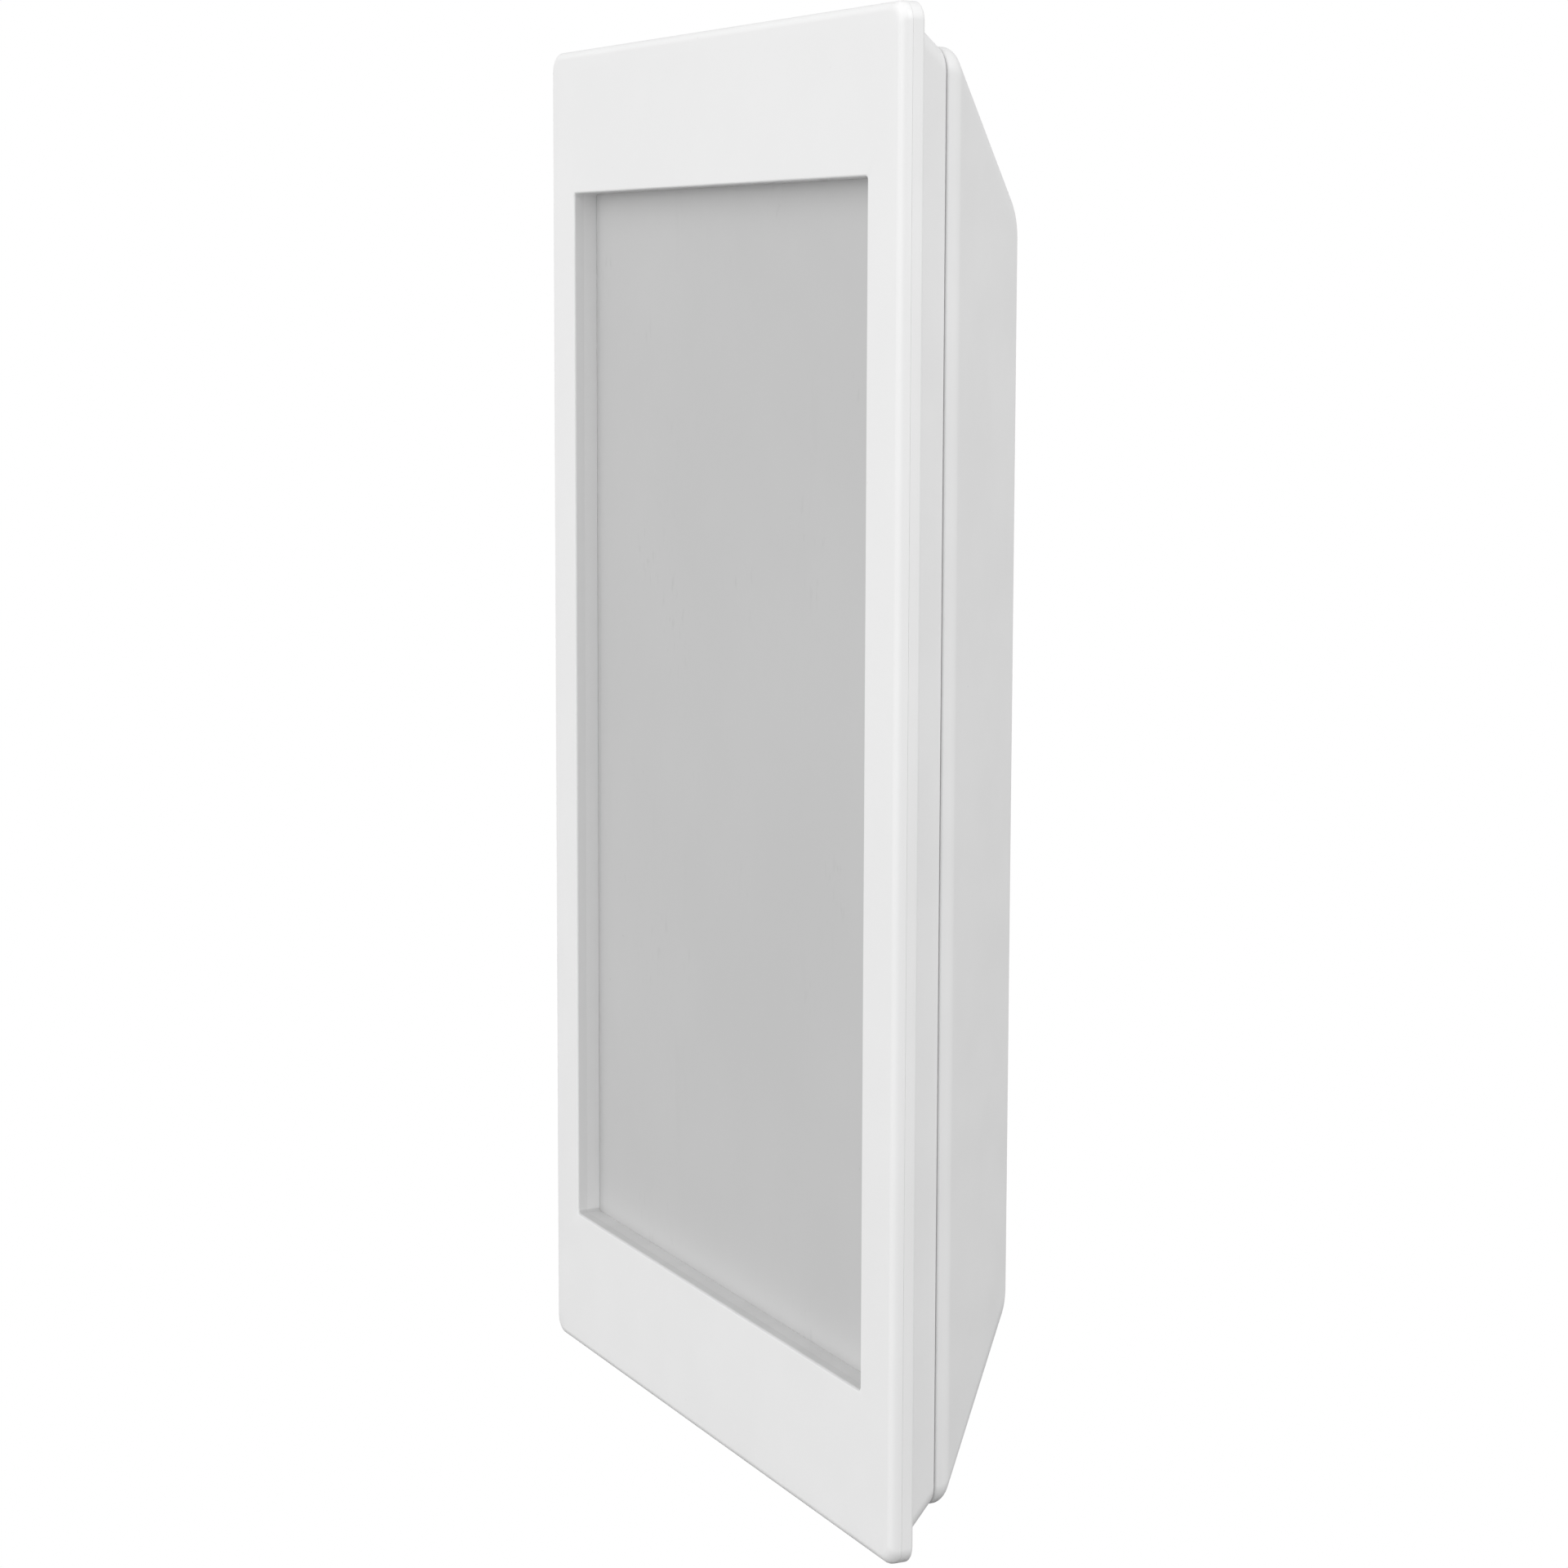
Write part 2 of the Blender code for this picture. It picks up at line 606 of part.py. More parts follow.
def make_display_cable():
    half_width = 10.0 * MM
    strip = bmesh.new()
    rows = [
        [strip.verts.new((side * half_width, at(depth), z)) for side in (-1, 1)]
        for depth, z in ribbon_route()
    ]
    for low, high in zip(rows, rows[1:]):
        strip.faces.new((low[0], low[1], high[1], high[0]))
    cable = new_object("display_cable", strip)
    skin = cable.modifiers.new("thickness", "SOLIDIFY")
    skin.thickness = CLEARANCE
    skin.offset = 0.0
    skin.use_even_offset = True
    add_part(cable, "flat_cable")


def make_speaker():
    """Speaker and its gasket, flat against the inside of the slotted bottom."""
    width, length = SPEAKER_SIZE
    gasket_top = -SHELL_WALL - 0.25 * MM
    gasket = box(
        "speaker_gasket", (-width / 2, -length / 2, gasket_top - 0.8 * MM),
        (width / 2, length / 2, gasket_top), 5.0 * MM, axis=2,
    )
    hole = box(
        "gasket_hole", (-width / 2 + 3 * MM, -length / 2 + 2.4 * MM, -10 * MM),
        (width / 2 - 3 * MM, length / 2 - 2.4 * MM, 10 * MM), 3.0 * MM, axis=2,
    )
    cut(on_slope(gasket, GRILLE_DEPTH, -1), on_slope(hole, GRILLE_DEPTH, -1))
    add_part(gasket, "black_foam")
    top = gasket_top - 1.05 * MM
    speaker = box(
        "speaker", (-width / 2, -length / 2, top - 4.2 * MM), (width / 2, length / 2, top),
        5.0 * MM, axis=2,
    )
    add_part(on_slope(speaker, GRILLE_DEPTH, -1), "speaker_black")


def upright_cylinder(name, radius, low, high, sides=20):
    shape = bmesh.new()
    bmesh.ops.create_cone(
        shape, cap_ends=True, segments=sides, radius1=radius, radius2=radius, depth=high - low,
        matrix=Matrix.Translation((0.0, 0.0, (low + high) / 2)),
    )
    return new_object(name, shape)


def make_microphone():
    top = -SHELL_WALL - 0.25 * MM
    boot = upright_cylinder("microphone_boot", 3.0 * MM, top - 3.6 * MM, top)
    bore = upright_cylinder("boot_bore", 0.7 * MM, top - 5 * MM, top + MM, sides=12)
    cup = upright_cylinder("boot_cup", 2.3 * MM, top - 5 * MM, top - 1.2 * MM)
    can = upright_cylinder("microphone", 2.0 * MM, top - 3.4 * MM, top - 1.5 * MM)
    for shape in (boot, bore, cup, can):
        on_slope(shape, MIC_DEPTH, -1, MIC_X)
    cut(boot, bore, cup)
    add_part(boot, "boot_rubber")
    add_part(can, "mic_nickel")


def terminal_x(way):
    return (way - (TERMINAL_WAYS - 1) / 2) * TERMINAL_PITCH


def make_terminal_block():
    foot = BOARD_FRONT + BOARD_THICK + FILM_GAP
    middle = (TERMINAL_LOW + TERMINAL_HIGH) / 2
    width = TERMINAL_WAYS * TERMINAL_PITCH + MM
    block = plate("terminal_block", width, TERMINAL_HIGH - TERMINAL_LOW, foot, TERMINAL_BACK,
                  0.5 * MM, (0.0, middle))
    well_floor = TERMINAL_BACK - 5.7 * MM
    entry_front, entry_back = TERMINAL_BACK - 7.5 * MM, TERMINAL_BACK - 4.3 * MM
    head = (1.8 * MM, TERMINAL_BACK - 3.3 * MM, TERMINAL_BACK - 0.7 * MM)
    tip = TERMINAL_BACK - 4.1 * MM
    for way in range(TERMINAL_WAYS):
        x = terminal_x(way)
        well = cylinder(f"screw_well_{way}", 2.1 * MM, well_floor, DEPTH, (x, middle), sides=20)
        entry = box(
            f"wire_entry_{way}", (x - 1.5 * MM, at(entry_front), TERMINAL_LOW - MM),
            (x + 1.5 * MM, at(entry_back), middle + 2 * MM), 0.5 * MM, axis=2, steps=2,
        )
        cut(block, well, entry)
        make_screw(f"terminal_screw_{way + 1}", (x, middle), head, 1.2 * MM, tip, "zinc_screw")
    add_part(block, "terminal_green")


def make_reset_button():
    """Its origin lies on its axis, on the back end that a finger or pen presses."""
    place = (RESET_X, RESET_Z)
    back = DEPTH - RESET_SUNK
    button = cylinder("reset_button", RESET_RADIUS, RESET_FRONT, back, place)
    flange_back = CAVITY_BACK - CLEARANCE
    join(button, cylinder("button_flange", 2.6 * MM, flange_back - MM, flange_back, place))
    origin = Vector((RESET_X, at(back), RESET_Z))
    button.data.transform(Matrix.Translation(-origin))
    button.location = origin
    add_part(button, "button_grey")


def make_wall_bracket():
    front = DEPTH - BRACKET_THICK
    bracket = plate("wall_bracket", BRACKET_WIDTH, BRACKET_HEIGHT, front, DEPTH, 4.0 * MM)
    middle = (CABLE_LOW + CABLE_HIGH) / 2
    cut(bracket, plate("cable_opening", CABLE_WIDTH, CABLE_HIGH - CABLE_LOW, front - MM,
                       DEPTH + MM, 2.0 * MM, (0.0, middle)))
    for i, rise in enumerate((1, -1)):
        cut(bracket, plate(f"box_slot_{i}", 9.0 * MM, 4.4 * MM, front - MM, DEPTH + MM,
                           2.15 * MM, (0.0, rise * BOX_HOLE_RISE)))
    for i, place in enumerate(corners(CORNER_HOLE_X, CORNER_HOLE_Z)):
        cut(bracket, cylinder(f"corner_hole_{i}", CORNER_HOLE_RADIUS, front - MM, DEPTH + MM,
                              place, sides=20))
    for i, (x, z) in enumerate(corners(HOOK_X, HOOK_Z)):
        add_hook(bracket, i, x, z + SLOT_HEIGHT / 2 - 0.25 * MM)
    add_part(bracket, "bracket_steel")


def add_hook(bracket, number, x, top):
    """One hook: a tab through the shell's slot with its tip turned up behind the wall."""
    tip_back = CAVITY_BACK - CLEARANCE
    tip_front = tip_back - HOOK_THICK
    low, high = x - HOOK_WIDTH / 2, x + HOOK_WIDTH / 2
    window = box(
        f"lance_{number}", (low - CLEARANCE, at(DEPTH - 2 * MM), top),
        (high + CLEARANCE, MM, top + HOOK_RISE + HOOK_THICK), 0.5 * MM, steps=2,
    )
    tab = box(
        f"tab_{number}", (low, at(tip_front), top - HOOK_THICK),
        (high, at(DEPTH - BRACKET_THICK / 2), top),
    )
    tip = box(
        f"tip_{number}", (low, at(tip_front), top - HOOK_THICK / 2),
        (high, at(tip_back), top + HOOK_RISE),
    )
    cut(bracket, window)
    join(bracket, tab, tip)


def main():
    clear_scene()
    for collection in (PARTS, CUTTERS):
        bpy.context.scene.collection.children.link(collection)
    make_front_bezel()
    make_front_frame()
    make_display_gasket()
    make_touch_panel()
    make_display()
    make_display_tray()
    make_mid_housing()
    make_housing_seal()
    make_rear_shell()
    make_main_board()
    make_chips()
    make_power_parts()
    make_display_cable()
    make_speaker()
    make_microphone()
    make_terminal_block()
    make_reset_button()
    make_housing_screws()
    make_board_screws()
    make_wall_bracket()


main()
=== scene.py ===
"""Looks of a wall-mounted video door station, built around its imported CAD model.

Axes as in the CAD model: the front faces -Y, +Z is up, and the wall is the plane Y = 0.
Lengths are in metres. A depth is measured back from the front face.
"""

import json
import math

import bmesh
import bpy
from mathutils import Matrix, Vector


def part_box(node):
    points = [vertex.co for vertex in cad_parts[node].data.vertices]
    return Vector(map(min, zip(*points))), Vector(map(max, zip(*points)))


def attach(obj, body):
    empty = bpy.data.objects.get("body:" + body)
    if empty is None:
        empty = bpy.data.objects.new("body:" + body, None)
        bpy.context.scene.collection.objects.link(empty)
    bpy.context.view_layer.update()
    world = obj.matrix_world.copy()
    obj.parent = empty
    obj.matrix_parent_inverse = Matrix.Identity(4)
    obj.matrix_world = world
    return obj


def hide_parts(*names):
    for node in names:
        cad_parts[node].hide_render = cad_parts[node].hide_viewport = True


MM = 0.001
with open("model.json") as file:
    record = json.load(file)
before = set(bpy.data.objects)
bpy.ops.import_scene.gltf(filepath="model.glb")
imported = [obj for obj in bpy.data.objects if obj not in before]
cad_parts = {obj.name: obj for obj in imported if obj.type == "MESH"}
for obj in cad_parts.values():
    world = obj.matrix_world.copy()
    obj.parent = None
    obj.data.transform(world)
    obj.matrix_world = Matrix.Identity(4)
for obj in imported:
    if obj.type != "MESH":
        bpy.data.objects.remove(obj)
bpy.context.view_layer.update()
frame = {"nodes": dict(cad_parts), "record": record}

# Places that come from the CAD model
BEZEL_LOW, BEZEL_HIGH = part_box("front_bezel")
FRAME_LOW, FRAME_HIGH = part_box("front_frame")
MID_LOW, MID_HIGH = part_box("mid_housing")
SHELL_LOW, SHELL_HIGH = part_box("rear_shell")
TOUCH_LOW, TOUCH_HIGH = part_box("touch_panel")
BRACKET_LOW, BRACKET_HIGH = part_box("wall_bracket")
BLOCK_LOW, BLOCK_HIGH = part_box("terminal_block")
BUTTON_LOW, BUTTON_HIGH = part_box("reset_button")

# Front sheet, frame band and middle housing
PLATE_CORNER = 2.4 * MM
PLATE_ROUNDING = 1.2 * MM
FRAME_EDGE = 0.5 * MM
SEAM = 0.015 * MM
TOUCH_RIM = 1.3 * MM
WINDOW_EDGE = 0.35 * MM
WINDOW_CORNER = 0.6 * MM
HOUSING_CORNER = 3.3 * MM
HOUSING_WALL = 1.5 * MM
MID_WEB = 1.0 * MM
TOUCH_SLACK = 0.5 * MM
INNER_CORNER = 1.0 * MM
PARTING_EDGE = 0.15 * MM
PARTING_CLOSER = 0.12 * MM

# Rear shell
LIP_DEPTH = 1.5 * MM
LIP_FRONT_EDGE = 0.3 * MM
LIP_BACK_EDGE = 0.9 * MM
SLOPE_INSET = 15.9 * MM
SLOPE_START = SHELL_LOW.y + LIP_DEPTH
SLOPE_RUN = SLOPE_INSET / (SHELL_HIGH.y - SLOPE_START)
BACK_CORNER = 6.9 * MM
BACK_EDGE = 0.8 * MM
SHELL_WALL = 1.3 * MM
RECESS_DEPTH = 2.1 * MM
CAVITY_DEPTH = 3.6 * MM
RECESS_HALF = (27.0 * MM, 58.5 * MM)
RECESS_CORNER = 3.0 * MM
HOOK_PLACE = (16.0 * MM, 34.0 * MM)
HOOK_SLOT_HALF = (4.0 * MM, 3.2 * MM)
HOOK_SLOT_CORNER = 0.8 * MM
TERMINAL_OPENING_HALF = (13.0 * MM, 12.0 * MM)
TERMINAL_OPENING_CORNER = 1.5 * MM
WIRE_WAY_Z = 14.0 * MM
RESET_HOLE_RADIUS = 1.9 * MM
COUNTERBORE_RADIUS = 3.1 * MM
COUNTERBORE_FLOOR = 2.6 * MM
BOSS_RADIUS = 4.2 * MM
SCREW_BORE = 1.6 * MM
SLOT_HALF = (0.7 * MM, 4.5 * MM)
SLOT_PITCH = 3.4 * MM
SLOT_COUNT = 7
SLOT_MIDDLE = 8.7 * MM
MIC_HOLE_X = 26.0 * MM
MIC_HOLE_MIDDLE = 6.2 * MM
MIC_HOLE_RADIUS = 0.7 * MM
SLOPE_CUT = 4.0 * MM
MOULDED_EDGE = 0.15 * MM

# Screws, as shares of the head's radius
HEAD_HEIGHT = 0.55
DOME_START = 0.3
DOME_RISE = 0.25
CROSS_REACH = 0.62
CROSS_DEPTH = 0.45
CROSS_WIDTH = 0.22
CROSS_TAPER = 0.7

# Wall bracket
BRACKET_THICK = 1.2 * MM
BRACKET_CORNER = 4.0 * MM
STAMPED_EDGE = 0.12 * MM
WIRE_HOLE_HALF = (12.0 * MM, 10.0 * MM)
WIRE_HOLE_CORNER = 2.0 * MM
BOX_SLOT_HALF = (4.5 * MM, 2.2 * MM)
BOX_SLOT_CORNER = 2.15 * MM
BOX_SLOT_Z = 30.0 * MM
CORNER_HOLE_PLACE = (19.0 * MM, 46.0 * MM)
CORNER_HOLE_RADIUS = 2.2 * MM
COUNTERSINK_RADIUS = 3.0 * MM
COUNTERSINK_DEPTH = 0.5 * MM
HOOK_TOP = 2.95 * MM
HOOK_HALF_WIDTH = 3.0 * MM
HOOK_THICK = 1.2 * MM
HOOK_LIP_HALF = 1.8 * MM
LANCE_HALF = (3.3 * MM, 2.1 * MM)

# Terminal block; depths are measured in from its back face
TERMINAL_PITCH = 5.0 * MM
WELL_RADIUS = 2.1 * MM
WELL_DEPTH = 5.7 * MM
ENTRY_HALF = (1.5 * MM, 5.0 * MM)
ENTRY_DEPTHS = (7.5 * MM, 4.3 * MM)
ENTRY_RISE = 2.0 * MM
CLAMP_HALF = (1.35 * MM, 1.2 * MM)
CLAMP_DEPTHS = (7.3 * MM, 6.9 * MM)
CLAMP_RISE = 2.4 * MM
GROOVE_HALF = (0.25 * MM, 6.0 * MM)
GROOVE_DEPTH = 0.6 * MM

# Reset button
BUTTON_RADIUS = 1.6 * MM
BUTTON_FLANGE = 1.0 * MM
BUTTON_PLAY = 0.3 * MM

CORNER_STEPS = 14
ROUND_STEPS = 6
CIRCLE_STEPS = 40
WELD = 1e-7
BEVEL_ANGLE = math.radians(50.0)
FLAT_FACE = 0.98

# Camera: its place from the middle of the front face, and the way it looks
CAMERA_PLACE = Vector((430.6, -192.5, 62.1)) * MM
CAMERA_HEADING = math.radians(154.65)
CAMERA_TILT = math.radians(-7.02)
CAMERA_ROLL = math.radians(0.19)
CAMERA_LENS = 80.95
CAMERA_SHIFT = -0.04

# Light: the sky's brightness, soft patches on it, and lamps near the panel. Light from
# straight below is cut to FROM_BELOW, and grows to its full strength between the two heights.
SKY = 0.45
FROM_BELOW = 0.02
DARKENING_HEIGHTS = (-0.7, 0.05)
PATCHES = (  # direction, tightness, strength
    ((0.0, -1.0, 0.0), 3.0, 2.16),  # front
    ((0.4, -0.9, 0.0), 24.0, 1.0),  # small one, front right
    ((-0.7, -0.7, 0.1), 3.0, 0.33),  # front left
    ((0.8, 0.6, 0.1), 3.0, 1.28),  # rear right
    ((-0.9, 0.4, 0.1), 3.0, 0.35),  # rear left
)
LAMPS = (  # name, place, size, power
    ("high_right", (0.55, -0.35, 0.65), 0.5, 0.54),
    ("high_front", (-0.15, -0.6, 0.7), 0.5, 0.7),
    ("right", (0.6, 0.15, 0.45), 0.5, 1.65),
)

# Floor: half its side, its corners, its thickness and its drop below the panel's middle
FLOOR_HALF = 0.6
FLOOR_CORNER = 0.59
FLOOR_THICK = 0.01
FLOOR_DROP = 1.5


# Shapes


def outline(half_x, half_z, corner, y):
    """Points of a rounded rectangle at one Y."""
    points = []
    for quarter, (side, rise) in enumerate(((1, 1), (-1, 1), (-1, -1), (1, -1))):
        for step in range(CORNER_STEPS + 1):
            angle = math.radians(90 * (quarter + step / CORNER_STEPS))
            x = side * (half_x - corner) + corner * math.cos(angle)
            z = rise * (half_z - corner) + corner * math.sin(angle)
            points.append((x, y, z))
    return points


def soften(profile):
    """Rounds a profile's corners. A point is (half_x, half_z, corner, y, rounding)."""
    rings = []
    for i, point in enumerate(profile):
        here, rounding = Vector(point[:4]), point[4]
        if not rounding:
            rings.append(here)
            continue
        ends = []
        for other in (profile[i - 1], profile[(i + 1) % len(profile)]):
            run = Vector(other[:4]) - here
            ends.append(run * rounding / math.hypot(run[0], run[3]))
        for step in range(ROUND_STEPS + 1):
            angle = math.radians(90 * step / ROUND_STEPS)
            bend = ends[0] * (1 - math.sin(angle)) + ends[1] * (1 - math.cos(angle))
            rings.append(here + bend)
    return rings


def new_object(name, builder):
    bmesh.ops.remove_doubles(builder, verts=builder.verts, dist=WELD)
    bmesh.ops.recalc_face_normals(builder, faces=builder.faces)
    mesh = bpy.data.meshes.new(name)
    builder.to_mesh(mesh)
    builder.free()
    obj = bpy.data.objects.new(name, mesh)
    bpy.context.scene.collection.objects.link(obj)
    return obj


def loft(name, profile, closed=False):
    """A skin over rounded rectangles: closed in a ring round an opening, or capped at both ends."""
    skin = bmesh.new()
    loops = [[skin.verts.new(point) for point in outline(*ring)] for ring in soften(profile)]
    following = loops[1:] + loops[:1] if closed else loops[1:]
    for front, back in zip(loops, following):
        for i in range(len(front)):
            skin.faces.new((front[i - 1], front[i], back[i], back[i - 1]))
    if not closed:
        skin.faces.new(loops[0])
        skin.faces.new(loops[-1])
    return new_object(name, skin)


def plate(name, half, front, back, corner, centre=(0.0, 0.0), edge=0.0):
    """A flat rounded plate between two Ys, with its edges rounded."""
    profile = [
        (half[0], half[1], corner, front, edge),
        (half[0], half[1], corner, back, edge),
    ]
    if edge:
        inner = (half[0] - 2 * edge, half[1] - 2 * edge, max(corner - 2 * edge, edge / 4))
        profile = [(*inner, front, 0.0), *profile, (*inner, back, 0.0)]
    obj = loft(name, profile)
    obj.data.transform(Matrix.Translation((centre[0], 0.0, centre[1])))
    return obj


def lathe(name, profile, centre):
    """A body turned about a line along Y; the profile's points are (radius, y)."""
    skin = bmesh.new()
    loops = []
    for radius, y in profile:
        turns = [math.tau * step / CIRCLE_STEPS for step in range(CIRCLE_STEPS)]
        loops.append([
            skin.verts.new((centre[0] + radius * math.cos(t), y, centre[1] + radius * math.sin(t)))
            for t in turns
        ])
    for low, high in zip(loops, loops[1:]):
        for i in range(CIRCLE_STEPS):
            skin.faces.new((low[i - 1], low[i], high[i], high[i - 1]))
    skin.faces.new(loops[0])
    skin.faces.new(loops[-1])
    return new_object(name, skin)


def peg(name, radius, front, back, centre):
    """A plain round bar along Y."""
    return lathe(name, [(radius, front), (radius, back)], centre)


def four(x, z):
    """The four mirrored places of a repeated part, in the CAD model's order."""
    return [(side * x, rise * z) for rise in (1, -1) for side in (-1, 1)]


def shape(obj, cutters=(), additions=(), edge=0.0):
    """Cuts and joins other bodies, rounds the new sharp edges, and keeps the result as mesh."""
    for tools, operation in ((additions, "UNION"), (cutters, "DIFFERENCE")):
        for tool in tools:
            step = obj.modifiers.new(operation.lower(), "BOOLEAN")
            step.operation = operation
            step.object = tool
            step.solver = "EXACT"
    if edge:
        bevel = obj.modifiers.new("edges", "BEVEL")
        bevel.width = edge
        bevel.segments = 2
        bevel.limit_method = "ANGLE"
        bevel.angle_limit = BEVEL_ANGLE
    graph = bpy.context.evaluated_depsgraph_get()
    mesh = bpy.data.meshes.new_from_object(obj.evaluated_get(graph))
    obj.modifiers.clear()
    obj.data = mesh
    for tool in (*cutters, *additions):
        bpy.data.objects.remove(tool)
    return obj


def dress(obj, slot, body="panel", stands_for=(), smooth_angle=35.0):
    """Shades a new piece, gives it its finish, and makes it ride on its body."""
    obj.data.materials.clear()
    obj.data.materials.append(MATERIALS[slot])
    obj.data.shade_smooth()
    obj.data.set_sharp_from_angle(angle=math.radians(smooth_angle))
    normals = obj.modifiers.new("flat_faces", "WEIGHTED_NORMAL")
    normals.keep_sharp = True
    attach(obj, body)
    if stands_for:
        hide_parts(*stands_for)
    return obj


# Materials


def add_node(tree, kind, links, **settings):
    """Adds a node; each link is a value, or the socket of another node."""
    node = tree.nodes.new(kind)
    for name, value in settings.items():
        setattr(node, name, value)
    for name, value in links.items():
        if isinstance(value, bpy.types.NodeSocket):
            tree.links.new(value, node.inputs[name])
        else:
            node.inputs[name].default_value = value
    return node


class Finish:
    """A Principled material whose patterns are sized in metres on the object."""

    def __init__(self, name, colour, roughness, metallic=0.0, specular=0.5):
        self.material = bpy.data.materials.new(name)
        self.material.use_nodes = True
        self.material.diffuse_color = (*colour, 1.0)
        self.tree = self.material.node_tree
        self.shader = self.tree.nodes["Principled BSDF"]
        self.shader.inputs["Roughness"].default_value = roughness
        self.shader.inputs["Metallic"].default_value = metallic
        self.shader.inputs["Specular IOR Level"].default_value = specular
        self.colour = colour
        places = self.tree.nodes.new("ShaderNodeTexCoord")
        self.coords = places.outputs["Object"]
        self.normal = places.outputs["Normal"]

    def node(self, kind, links, **settings):
        return add_node(self.tree, kind, links, **settings)

    def stretched(self, stretch):
        return self.node("ShaderNodeMapping", {"Vector": self.coords, "Scale": stretch}).outputs[0]

    def noise(self, size, detail=2.0, stretch=None):
        """Noise with features of this size; stretch squeezes it along an axis."""
        where = self.stretched(stretch) if stretch else self.coords
        links = {"Vector": where, "Scale": 1.0 / size, "Detail": detail, "Roughness": 0.55}
        return self.node("ShaderNodeTexNoise", links).outputs["Fac"]

    def cells(self, size, feature="F1", stretch=None):
        where = self.stretched(stretch) if stretch else self.coords
        links = {"Vector": where, "Scale": 1.0 / size}
        node = self.node("ShaderNodeTexVoronoi", links, feature=feature)
        return node.outputs["Distance"]

    def between(self, value, start, end, low=0.0, high=1.0):
        """Maps start..end to low..high, softly and without going past either."""
        links = {
            "Value": value, "From Min": start, "From Max": end, "To Min": low, "To Max": high,
        }
        node = self.node("ShaderNodeMapRange", links, interpolation_type="SMOOTHSTEP")
        return node.outputs["Result"]

    def product(self, first, second):
        return self.node("ShaderNodeMath", {0: first, 1: second}, operation="MULTIPLY").outputs[0]

    def blend(self, factor, first, second):
        """Mixes two colours, each given as numbers or as a socket."""
        links = {"Factor": factor}
        node = self.node("ShaderNodeMix", links, data_type="RGBA")
        for socket, value in ((node.inputs[6], first), (node.inputs[7], second)):
            if isinstance(value, bpy.types.NodeSocket):
                self.tree.links.new(value, socket)
            else:
                socket.default_value = (*value, 1.0)
        return node.outputs[2]

    def shade(self, factor):
        """The finish's own colour, darker or lighter."""
        return tuple(min(channel * factor, 1.0) for channel in self.colour)

    def use(self, colour=None, roughness=None, height=None, depth=0.0):
        """Plugs the patterns in; depth is the height of the relief in metres."""
        if colour is not None:
            self.tree.links.new(colour, self.shader.inputs["Base Color"])
        if roughness is not None:
            self.tree.links.new(roughness, self.shader.inputs["Roughness"])
        if height is not None:
            links = {"Height": height, "Distance": depth, "Strength": 1.0}
            bump = self.node("ShaderNodeBump", links)
            self.tree.links.new(bump.outputs["Normal"], self.shader.inputs["Normal"])
        return self.material


def moulded(name, colour, roughness, grain=0.35 * MM, depth=0.004 * MM, mottle=0.015, specular=0.5):
    """Moulded plastic: spark-eroded grain, faint clouding and a few specks of dust."""
    finish = Finish(name, colour, roughness, specular=specular)
    cloud = finish.noise(18 * MM, detail=3.0)
    tone = finish.blend(
        finish.between(cloud, 0.3, 0.7), finish.shade(1 - mottle), finish.shade(1 + mottle)
    )
    dust = finish.between(finish.cells(9 * MM), 0.022, 0.008)
    tone = finish.blend(finish.product(dust, 0.22), tone, finish.shade(0.55))
    fine = finish.noise(grain, detail=3.0)
    worn = finish.between(finish.noise(6 * MM), 0.3, 0.7, roughness - 0.04, roughness + 0.05)
    return finish.use(tone, worn, fine, depth)


def painted_shade_ledge(name, colour):
    """Matt plastic or foam in a recess, with painted shade that darkens what faces up, in patches.
    """
    finish = Finish(name, colour, 0.6)
    # Painted shade: the more a face points up, the more it is blended towards a darker copy of the
    # colour
    up = finish.node("ShaderNodeSeparateXYZ", {"Vector": finish.normal}).outputs["Z"]
    painted_shade = finish.between(up, 0.05, 0.6, 0.0, 0.85)
    patchy = finish.between(finish.noise(7 * MM, detail=4.0), 0.3, 0.7, 0.85, 1.0)
    tone = finish.blend(finish.product(painted_shade, patchy), finish.shade(1.0), finish.shade(0.69))
    rough = finish.between(finish.noise(3 * MM), 0.3, 0.7, 0.55, 0.7)
    return finish.use(tone, rough, finish.noise(0.2 * MM), 0.002 * MM)


def metal(name, colour, roughness, stretch=(1, 1, 1), grain=0.3 * MM, patches=4 * MM):
    """Plated or rolled metal: drawn lines, with brighter and duller patches."""
    finish = Finish(name, colour, roughness, metallic=1.0)
    patch = finish.cells(patches, stretch=stretch)
    lines = finish.noise(grain, detail=4.0, stretch=stretch)
    tone = finish.blend(finish.between(patch, 0.1, 0.9), finish.shade(0.9), finish.shade(1.08))
    tone = finish.blend(finish.between(lines, 0.35, 0.65, 0.0, 0.25), tone, finish.shade(0.72))
    rough = finish.between(lines, 0.3, 0.7, roughness - 0.07, roughness + 0.1)
    return finish.use(tone, rough, lines, 0.004 * MM)


def foam(name, colour, cell):
    """Closed-cell foam or soft rubber: fine pores and a dull skin."""
    finish = Finish(name, colour, 0.85, specular=0.25)
    pores = finish.cells(cell)
    tone = finish.blend(finish.between(pores, 0.0, 0.7), finish.shade(0.82), finish.shade(1.06))
    rough = finish.between(finish.noise(2 * MM), 0.3, 0.7, 0.78, 0.92)
    return finish.use(tone, rough, pores, 0.01 * MM)


